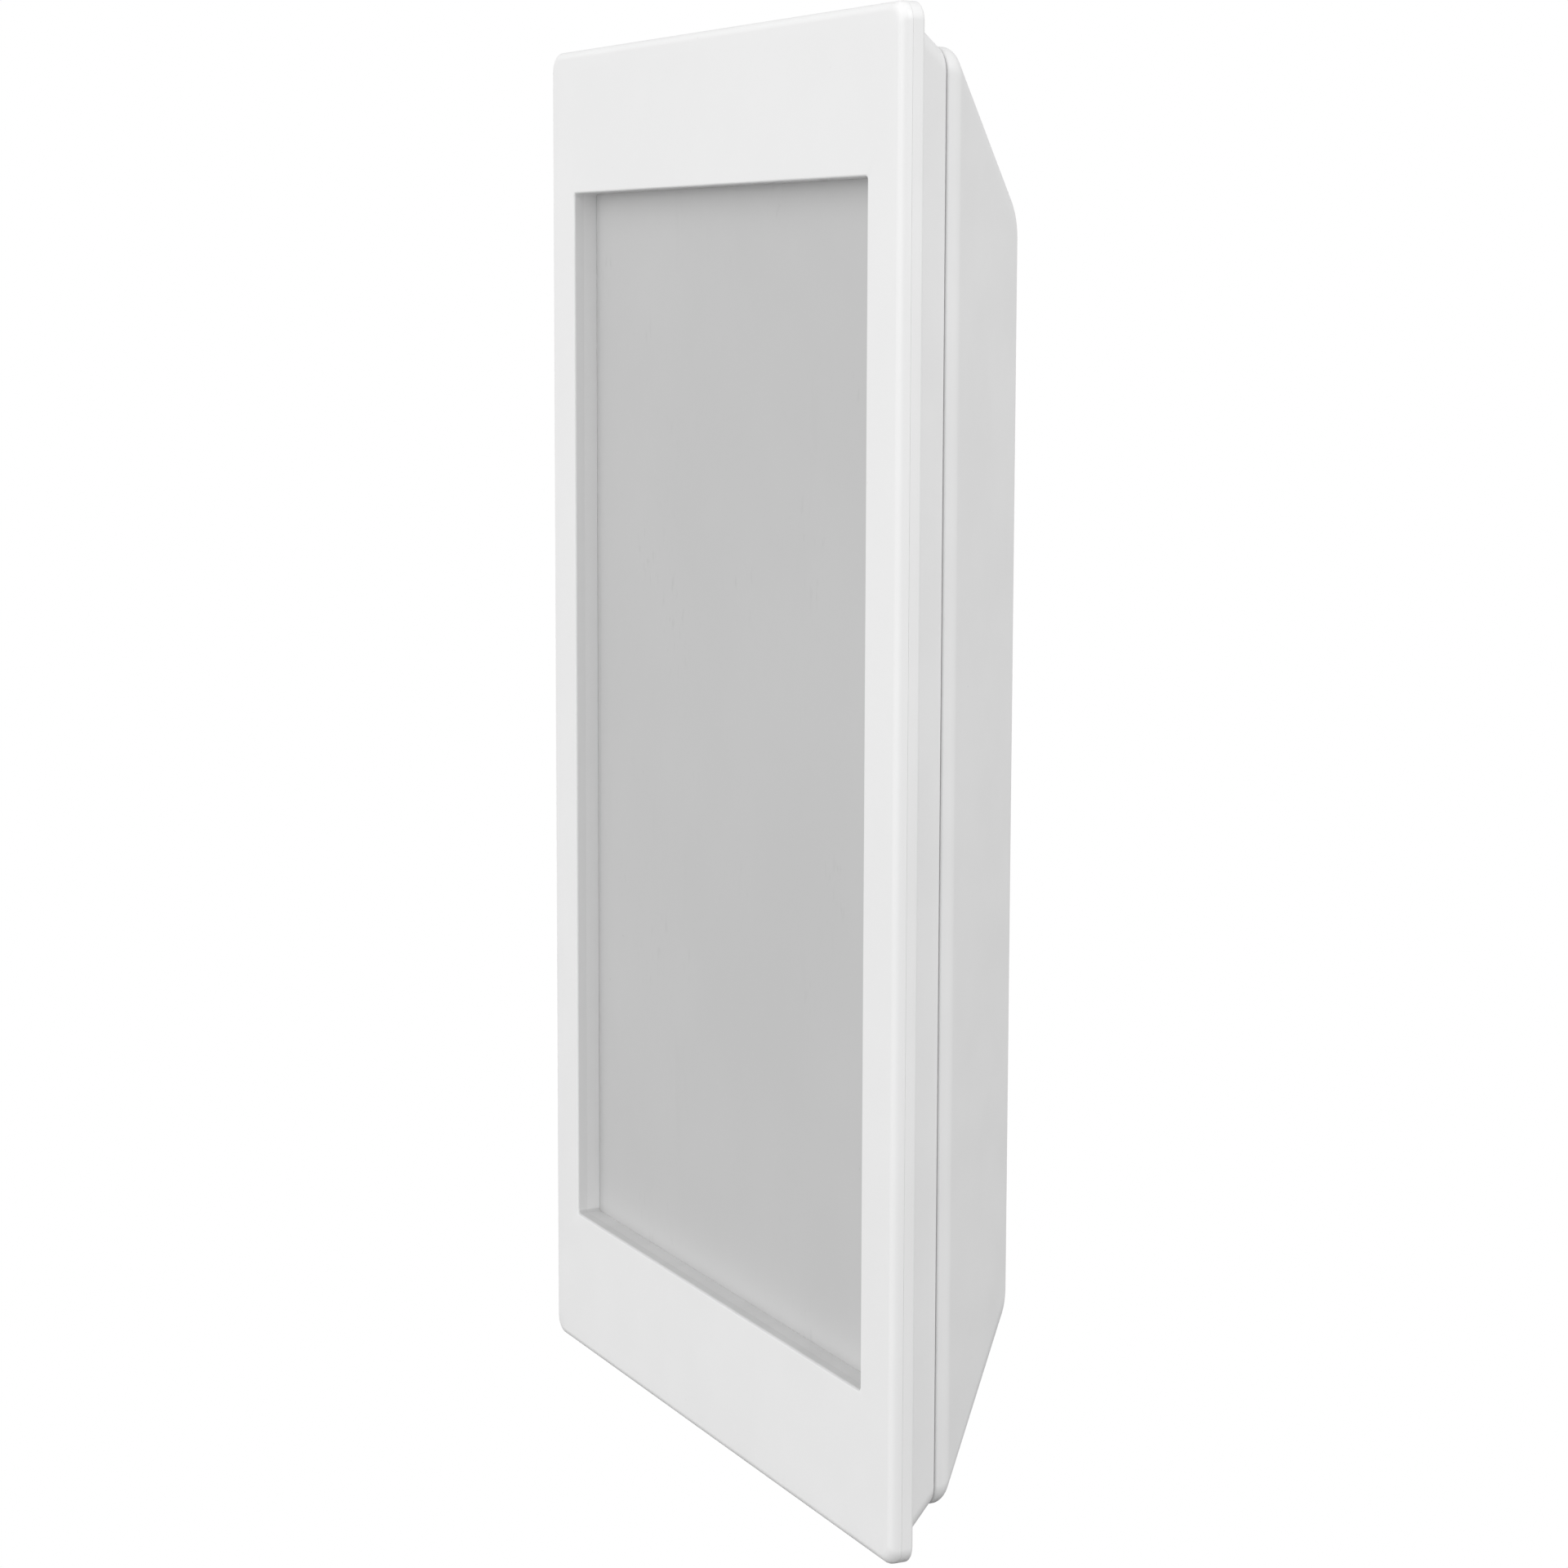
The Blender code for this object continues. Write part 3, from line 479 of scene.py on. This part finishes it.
def screen_film(name, colour):
    """Anti-glare film over a display that is off: faint rubs, wiping streaks and dust."""
    finish = Finish(name, colour, 0.5, specular=0.35)
    cloud = finish.noise(34 * MM, detail=2.0)
    tone = finish.blend(finish.between(cloud, 0.3, 0.7), finish.shade(0.985), finish.shade(1.012))
    streak = finish.noise(5 * MM, detail=3.0, stretch=(1.0, 1.0, 0.16))
    tone = finish.blend(finish.between(streak, 0.62, 0.8, 0.0, 0.10), tone, finish.shade(0.82))
    rub = finish.product(
        finish.between(finish.noise(0.9 * MM, detail=4.0, stretch=(1.0, 1.0, 0.3)), 0.56, 0.72),
        finish.between(finish.noise(15 * MM), 0.55, 0.72),
    )
    tone = finish.blend(finish.product(rub, 0.30), tone, finish.shade(0.78))
    dust = finish.between(finish.cells(8 * MM), 0.03, 0.012)
    tone = finish.blend(finish.product(dust, 0.25), tone, finish.shade(0.6))
    rough = finish.between(finish.noise(9 * MM, detail=4.0), 0.3, 0.7, 0.46, 0.56)
    return finish.use(tone, rough, finish.noise(0.12 * MM), 0.001 * MM)


def board_mask(name, colour):
    """Solder mask over copper: tracks as raised lighter lines, and small plated holes."""
    finish = Finish(name, colour, 0.38)
    tracks = finish.cells(3.2 * MM, feature="DISTANCE_TO_EDGE", stretch=(1.0, 0.2, 1.0))
    line = finish.between(tracks, 0.11, 0.07)
    tone = finish.blend(finish.noise(12 * MM), finish.shade(0.85), finish.shade(1.15))
    tone = finish.blend(finish.product(line, 0.65), tone, finish.shade(1.9))
    holes = finish.between(finish.cells(2.6 * MM, stretch=(1.0, 0.01, 1.0)), 0.13, 0.10)
    tone = finish.blend(finish.product(holes, 0.8), tone, (0.62, 0.50, 0.24))
    rough = finish.between(finish.noise(4 * MM), 0.3, 0.7, 0.3, 0.45)
    return finish.use(tone, rough, line, 0.02 * MM)


def flat_cable(name, colour):
    """Polyimide film with parallel copper tracks."""
    finish = Finish(name, colour, 0.35)
    links = {"Vector": finish.coords, "Scale": 260.0}
    stripes = finish.node("ShaderNodeTexWave", links, bands_direction="X").outputs["Fac"]
    tone = finish.blend(finish.between(stripes, 0.3, 0.7), finish.shade(0.7), finish.shade(1.3))
    rough = finish.between(finish.noise(3 * MM), 0.3, 0.7, 0.3, 0.42)
    return finish.use(tone, rough, stripes, 0.01 * MM)


ROLLED = (1.0, 1.0, 0.12)
MATERIALS = {
    "white_front": moulded("white_front", (0.84, 0.84, 0.84), 0.32, 0.22 * MM, 0.0010 * MM, 0.006),
    "white_plastic": moulded("white_plastic", (0.82, 0.82, 0.82), 0.50, 0.30 * MM, 0.005 * MM),
    # The window's wall and the gasket get painted shade on the faces that point up
    "window_wall": painted_shade_ledge("window_wall", (0.84, 0.84, 0.84)),
    "grey_foam": painted_shade_ledge("grey_foam", (0.88, 0.88, 0.88)),
    "touch_film": screen_film("touch_film", (0.535, 0.535, 0.535)),
    "dark_seal": foam("dark_seal", (0.05, 0.05, 0.05), 0.25 * MM),
    "display_cell": moulded("display_cell", (0.56, 0.57, 0.57), 0.3),
    "light_guide": moulded("light_guide", (0.78, 0.80, 0.80), 0.2),
    "led_strip": moulded("led_strip", (0.75, 0.70, 0.45), 0.5),
    "tray_steel": metal("tray_steel", (0.62, 0.62, 0.61), 0.35, ROLLED),
    "green_board": board_mask("green_board", (0.03, 0.17, 0.08)),
    "chip_black": moulded("chip_black", (0.03, 0.03, 0.035), 0.4),
    "can_tin": metal("can_tin", (0.70, 0.70, 0.68), 0.28, ROLLED),
    "ferrite": moulded("ferrite", (0.09, 0.09, 0.09), 0.65),
    "capacitor_sleeve": metal("capacitor_sleeve", (0.55, 0.56, 0.58), 0.3),
    "cream_plastic": moulded("cream_plastic", (0.72, 0.68, 0.56), 0.5),
    "flat_cable": flat_cable("flat_cable", (0.60, 0.36, 0.10)),
    "speaker_black": moulded("speaker_black", (0.05, 0.05, 0.055), 0.55),
    "black_foam": foam("black_foam", (0.04, 0.04, 0.04), 0.45 * MM),
    "boot_rubber": foam("boot_rubber", (0.05, 0.05, 0.05), 0.25 * MM),
    "mic_nickel": metal("mic_nickel", (0.66, 0.65, 0.62), 0.3),
    "terminal_green": moulded("terminal_green", (0.05, 0.30, 0.12), 0.45),
    "zinc_screw": metal("zinc_screw", (0.66, 0.66, 0.64), 0.3, grain=0.15 * MM, patches=1 * MM),
    "dark_screw": metal("dark_screw", (0.10, 0.10, 0.105), 0.4, grain=0.15 * MM, patches=1 * MM),
    "button_grey": moulded("button_grey", (0.45, 0.45, 0.46), 0.45),
    "bracket_steel": metal("bracket_steel", (0.60, 0.61, 0.61), 0.36, patches=5 * MM),
}


def paint_cad_nodes():
    """Gives every CAD node that stays the material of its slot."""
    for entry in frame["record"]["subparts"]:
        node = frame["nodes"][entry["node"]]
        for slot in node.material_slots:
            slot.link = "OBJECT"
            slot.material = MATERIALS[entry["material_slot"]]


# Front


def half_of(high, inset=0.0):
    return high.x - inset, high.z - inset


def make_bezel():
    """The front sheet: soft outer edge, and a window whose edge is just broken."""
    plate_half = half_of(BEZEL_HIGH)
    window = half_of(TOUCH_HIGH, TOUCH_RIM)
    front = BEZEL_LOW.y
    back = FRAME_LOW.y - SEAM / 2
    flat = 3 * MM
    profile = [
        (*plate_half, PLATE_CORNER, back, SEAM),
        (*plate_half, PLATE_CORNER, front, PLATE_ROUNDING),
        (plate_half[0] - flat, plate_half[1] - flat, PLATE_CORNER / 2, front, 0.0),
        (window[0] + flat, window[1] + flat, INNER_CORNER, front, 0.0),
        (*window, WINDOW_CORNER, front, WINDOW_EDGE),
        (*window, WINDOW_CORNER, back, 0.0),
        (window[0] + flat, window[1] + flat, INNER_CORNER, back, 0.0),
        (plate_half[0] - flat, plate_half[1] - flat, PLATE_CORNER / 2, back, 0.0),
    ]
    bezel = loft("bezel", profile, closed=True)
    dress(bezel, "white_front", stands_for=["front_bezel"])
    bezel.data.materials.append(MATERIALS["window_wall"])
    # The window's wall faces take window_wall, which paints shade on those that face up
    for face in bezel.data.polygons:
        on_wall = abs(face.normal.y) < FLAT_FACE and abs(face.center.x) < window[0] + WINDOW_EDGE
        if on_wall and abs(face.center.z) < window[1] + WINDOW_EDGE:
            face.material_index = 1


def make_frame_band():
    """The frame behind the front sheet, as wide as the sheet."""
    plate_half = half_of(FRAME_HIGH)
    window = half_of(TOUCH_HIGH, -TOUCH_SLACK)
    front = FRAME_LOW.y + SEAM / 2
    back = FRAME_HIGH.y
    flat = 2 * MM
    profile = [
        (*plate_half, PLATE_CORNER, front, SEAM),
        (*plate_half, PLATE_CORNER, back, FRAME_EDGE),
        (plate_half[0] - flat, plate_half[1] - flat, PLATE_CORNER / 2, back, 0.0),
        (*window, INNER_CORNER, back, 0.0),
        (*window, INNER_CORNER, front, 0.0),
        (plate_half[0] - flat, plate_half[1] - flat, PLATE_CORNER / 2, front, 0.0),
    ]
    band = loft("frame_band", profile, closed=True)
    dress(band, "white_plastic", stands_for=["front_frame"])


def make_gasket_skin():
    """The foam gasket squeezed between the front sheet and the touch panel."""
    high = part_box("display_gasket")[1]
    window = half_of(TOUCH_HIGH, TOUCH_RIM)
    front, back = FRAME_LOW.y, TOUCH_LOW.y - SEAM
    skin = loft("gasket_skin", [
        (*half_of(high), INNER_CORNER, front, 0.0),
        (*half_of(high), INNER_CORNER, back, 0.0),
        (*window, WINDOW_CORNER, back, 0.0),
        (*window, WINDOW_CORNER, front, 0.0),
    ], closed=True)
    dress(skin, "grey_foam", stands_for=["display_gasket"])


def make_mid_skin():
    """The middle housing, which tapers back to the parting line."""
    front_half = half_of(MID_HIGH)
    back_half = half_of(SHELL_HIGH)
    inner = half_of(TOUCH_HIGH, -TOUCH_SLACK)
    front = MID_LOW.y
    back = MID_HIGH.y + PARTING_CLOSER
    inside_half = half_of(SHELL_HIGH, HOUSING_WALL)
    web = front + MID_WEB
    profile = [
        (*front_half, HOUSING_CORNER, front, PARTING_EDGE),
        (*back_half, HOUSING_CORNER, back, PARTING_EDGE),
        (*inside_half, HOUSING_CORNER / 2, back, 0.0),
        (*inside_half, HOUSING_CORNER / 2, web, 0.0),
        (*inner, INNER_CORNER, web, 0.0),
        (*inner, INNER_CORNER, front, 0.0),
    ]
    skin = loft("mid_skin", profile, closed=True)
    dress(skin, "white_plastic", stands_for=["mid_housing"])


# Rear shell


def slope_matrix(middle, rise):
    """From a body drawn about the origin, Y pointing out, onto the sloping top or bottom."""
    along = Vector((0.0, 1.0, -rise * SLOPE_RUN)).normalized()
    out = Vector((0.0, SLOPE_RUN, rise)).normalized()
    across = out.cross(along)
    turn = Matrix((across, out, along)).transposed().to_4x4()
    place = (0.0, SLOPE_START + middle, rise * (SHELL_HIGH.z - SLOPE_RUN * middle))
    return Matrix.Translation(place) @ turn


def on_slope(obj, middle, rise, x=0.0):
    """Moves a body onto the sloping top (rise 1) or bottom (rise -1)."""
    obj.data.transform(Matrix.Translation((x, 0.0, 0.0)) @ slope_matrix(middle, rise))
    return obj


def slot_row(rise):
    """Cutters for a row of round-ended slots."""
    tools = []
    for i in range(SLOT_COUNT):
        x = (i - (SLOT_COUNT - 1) / 2) * SLOT_PITCH
        slot = plate("slot", SLOT_HALF, -SLOPE_CUT, SLOPE_CUT / 2, SLOT_HALF[0] * 0.98)
        tools.append(on_slope(slot, SLOT_MIDDLE, rise, x))
    return tools


def shell_body():
    """The outside of the rear shell: lip, long slopes and the smaller back face."""
    half = half_of(SHELL_HIGH)
    front, back = SHELL_LOW.y - PARTING_CLOSER, SHELL_HIGH.y
    small = half_of(SHELL_HIGH, SLOPE_INSET)
    inner = half_of(SHELL_HIGH, HOUSING_WALL)
    middle = half_of(SHELL_HIGH, SLOPE_INSET + 3 * MM)
    return loft("rear_skin", [
        (*inner, HOUSING_CORNER / 2, front, 0.0),
        (*half, HOUSING_CORNER, front, LIP_FRONT_EDGE),
        (*half, HOUSING_CORNER, SLOPE_START, LIP_BACK_EDGE),
        (*small, BACK_CORNER, back, BACK_EDGE),
        (*middle, BACK_CORNER - 2 * MM, back, 0.0),
    ])


def shell_hollow(places):
    """The room inside the rear shell, less the bosses round its screws."""
    half = half_of(SHELL_HIGH)
    front, floor = SHELL_LOW.y, SHELL_HIGH.y - CAVITY_DEPTH
    # The wall is SHELL_WALL thick square to the slope, so it measures more straight inwards
    offset = SHELL_WALL * math.hypot(1.0, SLOPE_RUN)
    knee = SLOPE_START - (offset - SHELL_WALL) / SLOPE_RUN
    deep = offset + SLOPE_RUN * (floor - SLOPE_START)
    hollow = loft("hollow", [
        (half[0] - SHELL_WALL, half[1] - SHELL_WALL, HOUSING_CORNER / 2, front - MM, 0.0),
        (half[0] - SHELL_WALL, half[1] - SHELL_WALL, HOUSING_CORNER / 2, knee, 0.0),
        (half[0] - deep, half[1] - deep, BACK_CORNER / 2, floor, 0.0),
    ])
    bosses = [peg("boss", BOSS_RADIUS, front - 0.2 * MM, 0.0, place) for place in places]
    return shape(hollow, bosses)


def make_rear_skin():
    """The rear shell, cut for the bracket, the wires, the screws, the button and sound."""
    back = SHELL_HIGH.y
    inside = back - CAVITY_DEPTH - MM
    out = back + MM
    screw_places = [node_centre(f"housing_screw_{i}") for i in range(1, 5)]
    wire_way = (0, WIRE_WAY_Z)
    mic_hole = peg("mic_hole", MIC_HOLE_RADIUS, -SLOPE_CUT, MM, (0, 0))
    tools = [
        shell_hollow(screw_places),
        plate("recess", RECESS_HALF, back - RECESS_DEPTH, out, RECESS_CORNER),
        plate("opening", TERMINAL_OPENING_HALF, inside, back, TERMINAL_OPENING_CORNER, wire_way),
        peg("reset_hole", RESET_HOLE_RADIUS, inside, out, node_centre("reset_button")),
        on_slope(mic_hole, MIC_HOLE_MIDDLE, -1, MIC_HOLE_X),
        *slot_row(1),
        *slot_row(-1),
    ]
    for place in four(*HOOK_PLACE):
        tools.append(plate("hook_slot", HOOK_SLOT_HALF, inside, back, HOOK_SLOT_CORNER, place))
    for place in screw_places:
        floor = SHELL_LOW.y + COUNTERBORE_FLOOR
        tools.append(peg("counterbore", COUNTERBORE_RADIUS, floor, out, place))
        tools.append(peg("bore", SCREW_BORE, SHELL_LOW.y - MM, out, place))
    skin = shape(shell_body(), tools, edge=MOULDED_EDGE)
    dress(skin, "white_plastic", stands_for=["rear_shell"])


def node_centre(node):
    """Where a CAD node's middle is, in X and Z."""
    low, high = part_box(node)
    return (low.x + high.x) / 2, (low.z + high.z) / 2


def make_gauze():
    """Acoustic cloth behind the speaker slots and behind the vents."""
    for name, rise in (("speaker_cloth", -1), ("vent_cloth", 1)):
        low, high = -SHELL_WALL - 0.2 * MM, -SHELL_WALL - 0.05 * MM
        half = (SLOT_PITCH * SLOT_COUNT / 2 + MM, SLOT_HALF[1] + MM)
        cloth = plate(name, half, low, high, MM, edge=0.03 * MM)
        dress(on_slope(cloth, SLOT_MIDDLE, rise), "black_foam")


# Screws, bracket, terminals and button


def cross_recess(centre, reach, floor, top):
    """Cutters for a cross recess that narrows towards its floor."""
    tools = []
    for wide, tall in ((1.0, CROSS_WIDTH), (CROSS_WIDTH, 1.0)):
        foot = (reach * wide * CROSS_TAPER, reach * tall * CROSS_TAPER)
        profile = [
            (*foot, 0.05 * MM, floor, 0.0),
            (reach * wide, reach * tall, 0.05 * MM, top + 0.3 * MM, 0.0),
        ]
        blade = loft("blade", profile)
        blade.data.transform(Matrix.Translation((centre[0], 0.0, centre[1])))
        tools.append(blade)
    return tools


def make_screw(node, slot, shank):
    """A pan-head screw with a domed, cross-recessed head, in place of a plain one."""
    low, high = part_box(node)
    centre = node_centre(node)
    radius = high.x - centre[0]
    top = high.y
    seat = top - HEAD_HEIGHT * radius
    dome = []
    for degrees in range(0, 90, 12):
        angle = math.radians(degrees)
        height = (DOME_START + DOME_RISE * math.sin(angle)) * radius
        dome.append((radius * math.cos(angle), seat + height))
    profile = [(shank * 0.6, low.y), (shank, low.y + 0.4 * MM), (shank, seat), (radius, seat)]
    body = lathe(f"{node}_head", [*profile, *dome, (0.05 * MM, top)], centre)
    shape(body, cross_recess(centre, CROSS_REACH * radius, top - CROSS_DEPTH * radius, top))
    dress(body, slot, stands_for=[node], smooth_angle=30.0)


def make_screws():
    for i in range(1, 5):
        make_screw(f"housing_screw_{i}", "dark_screw", 1.2 * MM)
        make_screw(f"terminal_screw_{i}", "zinc_screw", 1.1 * MM)


def hook_pieces(x, top):
    """One hook: a tab that stands out from the bracket, and its turned-up lip."""
    tip = BRACKET_LOW.y
    tab_half = (HOOK_HALF_WIDTH, HOOK_THICK / 2)
    tab_place = (x, top - HOOK_THICK / 2)
    lip_place = (x, top + HOOK_THICK)
    root = BRACKET_HIGH.y - 0.3 * MM
    tab = plate("tab", tab_half, tip, root, 0.1 * MM, tab_place)
    lip_half = (HOOK_HALF_WIDTH, HOOK_LIP_HALF)
    lip = plate("turned", lip_half, tip, tip + HOOK_THICK, 0.3 * MM, lip_place)
    return tab, lip


def make_bracket():
    """Stamped steel bracket: holes with broken edges, hooks turned up through the shell."""
    front, back = BRACKET_HIGH.y - BRACKET_THICK, BRACKET_HIGH.y
    through = (front - MM, back + MM)
    bracket = plate("bracket", half_of(BRACKET_HIGH), front, back, BRACKET_CORNER)
    tools = [plate("wire_hole", WIRE_HOLE_HALF, *through, WIRE_HOLE_CORNER, (0, WIRE_WAY_Z))]
    for z in (BOX_SLOT_Z, -BOX_SLOT_Z):
        tools.append(plate("box_slot", BOX_SLOT_HALF, *through, BOX_SLOT_CORNER, (0, z)))
    for place in four(*CORNER_HOLE_PLACE):
        tools.append(peg("corner_hole", CORNER_HOLE_RADIUS, *through, place))
        countersink = [
            (CORNER_HOLE_RADIUS, back - COUNTERSINK_DEPTH),
            (COUNTERSINK_RADIUS, back + 0.3 * MM),
        ]
        tools.append(lathe("countersink", countersink, place))
    hooks = [(x, z + HOOK_TOP) for x, z in four(*HOOK_PLACE)]
    for x, top in hooks:
        lance = (x, top + LANCE_HALF[1])
        tools.append(plate("lance", LANCE_HALF, *through, 0.5 * MM, lance))
    shape(bracket, tools, edge=STAMPED_EDGE)
    additions = [piece for x, top in hooks for piece in hook_pieces(x, top)]
    shape(bracket, additions=additions)
    dress(bracket, "bracket_steel", "wall_mount", ["wall_bracket"])


def make_terminal_block():
    """The four-way terminal block: screw wells, wire entries with their clamps, and grooves."""
    middle = (BLOCK_LOW.z + BLOCK_HIGH.z) / 2
    half = (BLOCK_HIGH.x, (BLOCK_HIGH.z - BLOCK_LOW.z) / 2)
    back = BLOCK_HIGH.y
    out = back + MM
    block = plate("terminal_body", half, BLOCK_LOW.y, back, 0.5 * MM, (0, middle))
    entry_reach = [back - depth for depth in ENTRY_DEPTHS]
    clamp_reach = [back - depth for depth in CLAMP_DEPTHS]
    tools, clamps = [], []
    for i in range(1, 5):
        x, z = node_centre(f"terminal_screw_{i}")
        tools.append(peg("well", WELL_RADIUS, back - WELL_DEPTH, out, (x, z)))
        entry_place = (x, BLOCK_LOW.z + ENTRY_RISE)
        tools.append(plate("entry", ENTRY_HALF, *entry_reach, 0.2 * MM, entry_place))
        clamp_place = (x, BLOCK_LOW.z + CLAMP_RISE)
        clamp = plate("clamp", CLAMP_HALF, *clamp_reach, 0.2 * MM, clamp_place, edge=0.08 * MM)
        clamps.append(clamp)
    for step in (-1, 0, 1):
        groove_place = (step * TERMINAL_PITCH, middle)
        groove = plate("groove", GROOVE_HALF, back - GROOVE_DEPTH, out, 0.1 * MM, groove_place)
        tools.append(groove)
    shape(block, tools, edge=MOULDED_EDGE)
    dress(block, "terminal_green", stands_for=["terminal_block"])
    for i, clamp in enumerate(clamps, start=1):
        clamp.name = f"terminal_clamp_{i}"
        dress(clamp, "zinc_screw")


def make_button():
    """The recessed reset button, with a dished end for a pin."""
    centre = node_centre("reset_button")
    flange = BUTTON_HIGH.x - centre[0]
    radius = BUTTON_RADIUS
    low, high = BUTTON_LOW.y, BUTTON_HIGH.y
    collar = SHELL_HIGH.y - CAVITY_DEPTH - BUTTON_PLAY
    profile = [
        (radius - 0.2 * MM, low),
        (radius, low + 0.2 * MM),
        (radius, collar - BUTTON_FLANGE),
        (flange, collar - BUTTON_FLANGE),
        (flange, collar),
        (radius, collar),
        (radius, high - 0.25 * MM),
        (radius - 0.07 * MM, high - 0.07 * MM),
        (radius - 0.25 * MM, high),
        (radius - 0.5 * MM, high),
        (radius - 0.7 * MM, high - 0.15 * MM),
        (0.3 * MM, high - 0.3 * MM),
    ]
    button = lathe("button", profile, centre)
    dress(button, "button_grey", "reset_button", ["reset_button"])


# Studio


def make_floor():
    """A plain pale floor, as far below the panel as one mounted at chest height."""
    floor = plate("floor", (FLOOR_HALF, FLOOR_HALF), -FLOOR_THICK, 0.0, FLOOR_CORNER)
    floor.data.transform(Matrix.Rotation(math.radians(90), 4, "X"))
    floor.location = (0.0, 0.0, -FLOOR_DROP)
    floor.data.materials.append(moulded("floor_paint", (0.80, 0.80, 0.79), 0.6, grain=2 * MM))


def make_world():
    """White to the camera; the light comes from a soft sky with a few brighter patches."""
    world = bpy.data.worlds.new("studio")
    bpy.context.scene.world = world
    world.use_nodes = True
    tree = world.node_tree
    tree.nodes.clear()

    def node(kind, links, **settings):
        return add_node(tree, kind, links, **settings).outputs

    def calculate(operation, first, second):
        return node("ShaderNodeMath", {0: first, 1: second}, operation=operation)["Value"]

    way = node("ShaderNodeTexCoord", {})["Generated"]
    height = node("ShaderNodeSeparateXYZ", {"Vector": way})["Z"]
    dark, full = DARKENING_HEIGHTS
    above = node("ShaderNodeMapRange", {
        "Value": height, "From Min": dark, "From Max": full, "To Min": FROM_BELOW, "To Max": 1.0,
    }, interpolation_type="SMOOTHSTEP")["Result"]
    brightness = SKY
    for direction, tightness, strength in PATCHES:
        aim = Vector(direction).normalized()
        facing = node("ShaderNodeVectorMath", {0: way, 1: aim}, operation="DOT_PRODUCT")["Value"]
        patch = calculate("POWER", calculate("MAXIMUM", facing, 0.0), tightness)
        brightness = calculate("ADD", brightness, calculate("MULTIPLY", patch, strength))
    brightness = calculate("MULTIPLY", brightness, above)
    light = node("ShaderNodeBackground", {"Strength": brightness})["Background"]
    plain = node("ShaderNodeBackground", {"Color": (1, 1, 1, 1), "Strength": 1.0})["Background"]
    seen = node("ShaderNodeLightPath", {})["Is Camera Ray"]
    mixed = node("ShaderNodeMixShader", {0: seen, 1: light, 2: plain})["Shader"]
    node("ShaderNodeOutputWorld", {"Surface": mixed})


def make_light(name, place, size, power):
    """A large soft lamp that faces the panel."""
    lamp = bpy.data.lights.new(name, "AREA")
    lamp.shape = "DISK"
    lamp.size = size
    lamp.energy = power
    lamp_object = bpy.data.objects.new(name, lamp)
    lamp_object.location = place
    lamp_object.rotation_euler = (-Vector(place)).to_track_quat("-Z", "Y").to_euler()
    bpy.context.scene.collection.objects.link(lamp_object)


def make_camera():
    """The camera, placed from the middle of the front face."""
    camera = bpy.data.cameras.new("camera")
    camera.lens = CAMERA_LENS
    camera.sensor_width = 36.0
    camera.shift_y = CAMERA_SHIFT
    camera.clip_start = 0.01
    view = bpy.data.objects.new("camera", camera)
    ahead = Vector((
        math.cos(CAMERA_TILT) * math.cos(CAMERA_HEADING),
        math.cos(CAMERA_TILT) * math.sin(CAMERA_HEADING),
        math.sin(CAMERA_TILT),
    ))
    right = ahead.cross(Vector((0.0, 0.0, 1.0))).normalized()
    up = right.cross(ahead)
    turn = Matrix((right, up, -ahead)).transposed() @ Matrix.Rotation(CAMERA_ROLL, 3, "Z")
    place = CAMERA_PLACE + Vector((0.0, BEZEL_LOW.y, 0.0))
    view.matrix_world = Matrix.Translation(place) @ turn.to_4x4()
    bpy.context.scene.collection.objects.link(view)
    bpy.context.scene.camera = view


make_camera()
make_world()
make_floor()
for lamp in LAMPS:
    make_light(*lamp)
bpy.context.scene.view_settings.view_transform = "Standard"
paint_cad_nodes()
make_bezel()
make_frame_band()
make_gasket_skin()
make_mid_skin()
make_rear_skin()
make_gauze()
make_screws()
make_bracket()
make_terminal_block()
make_button()
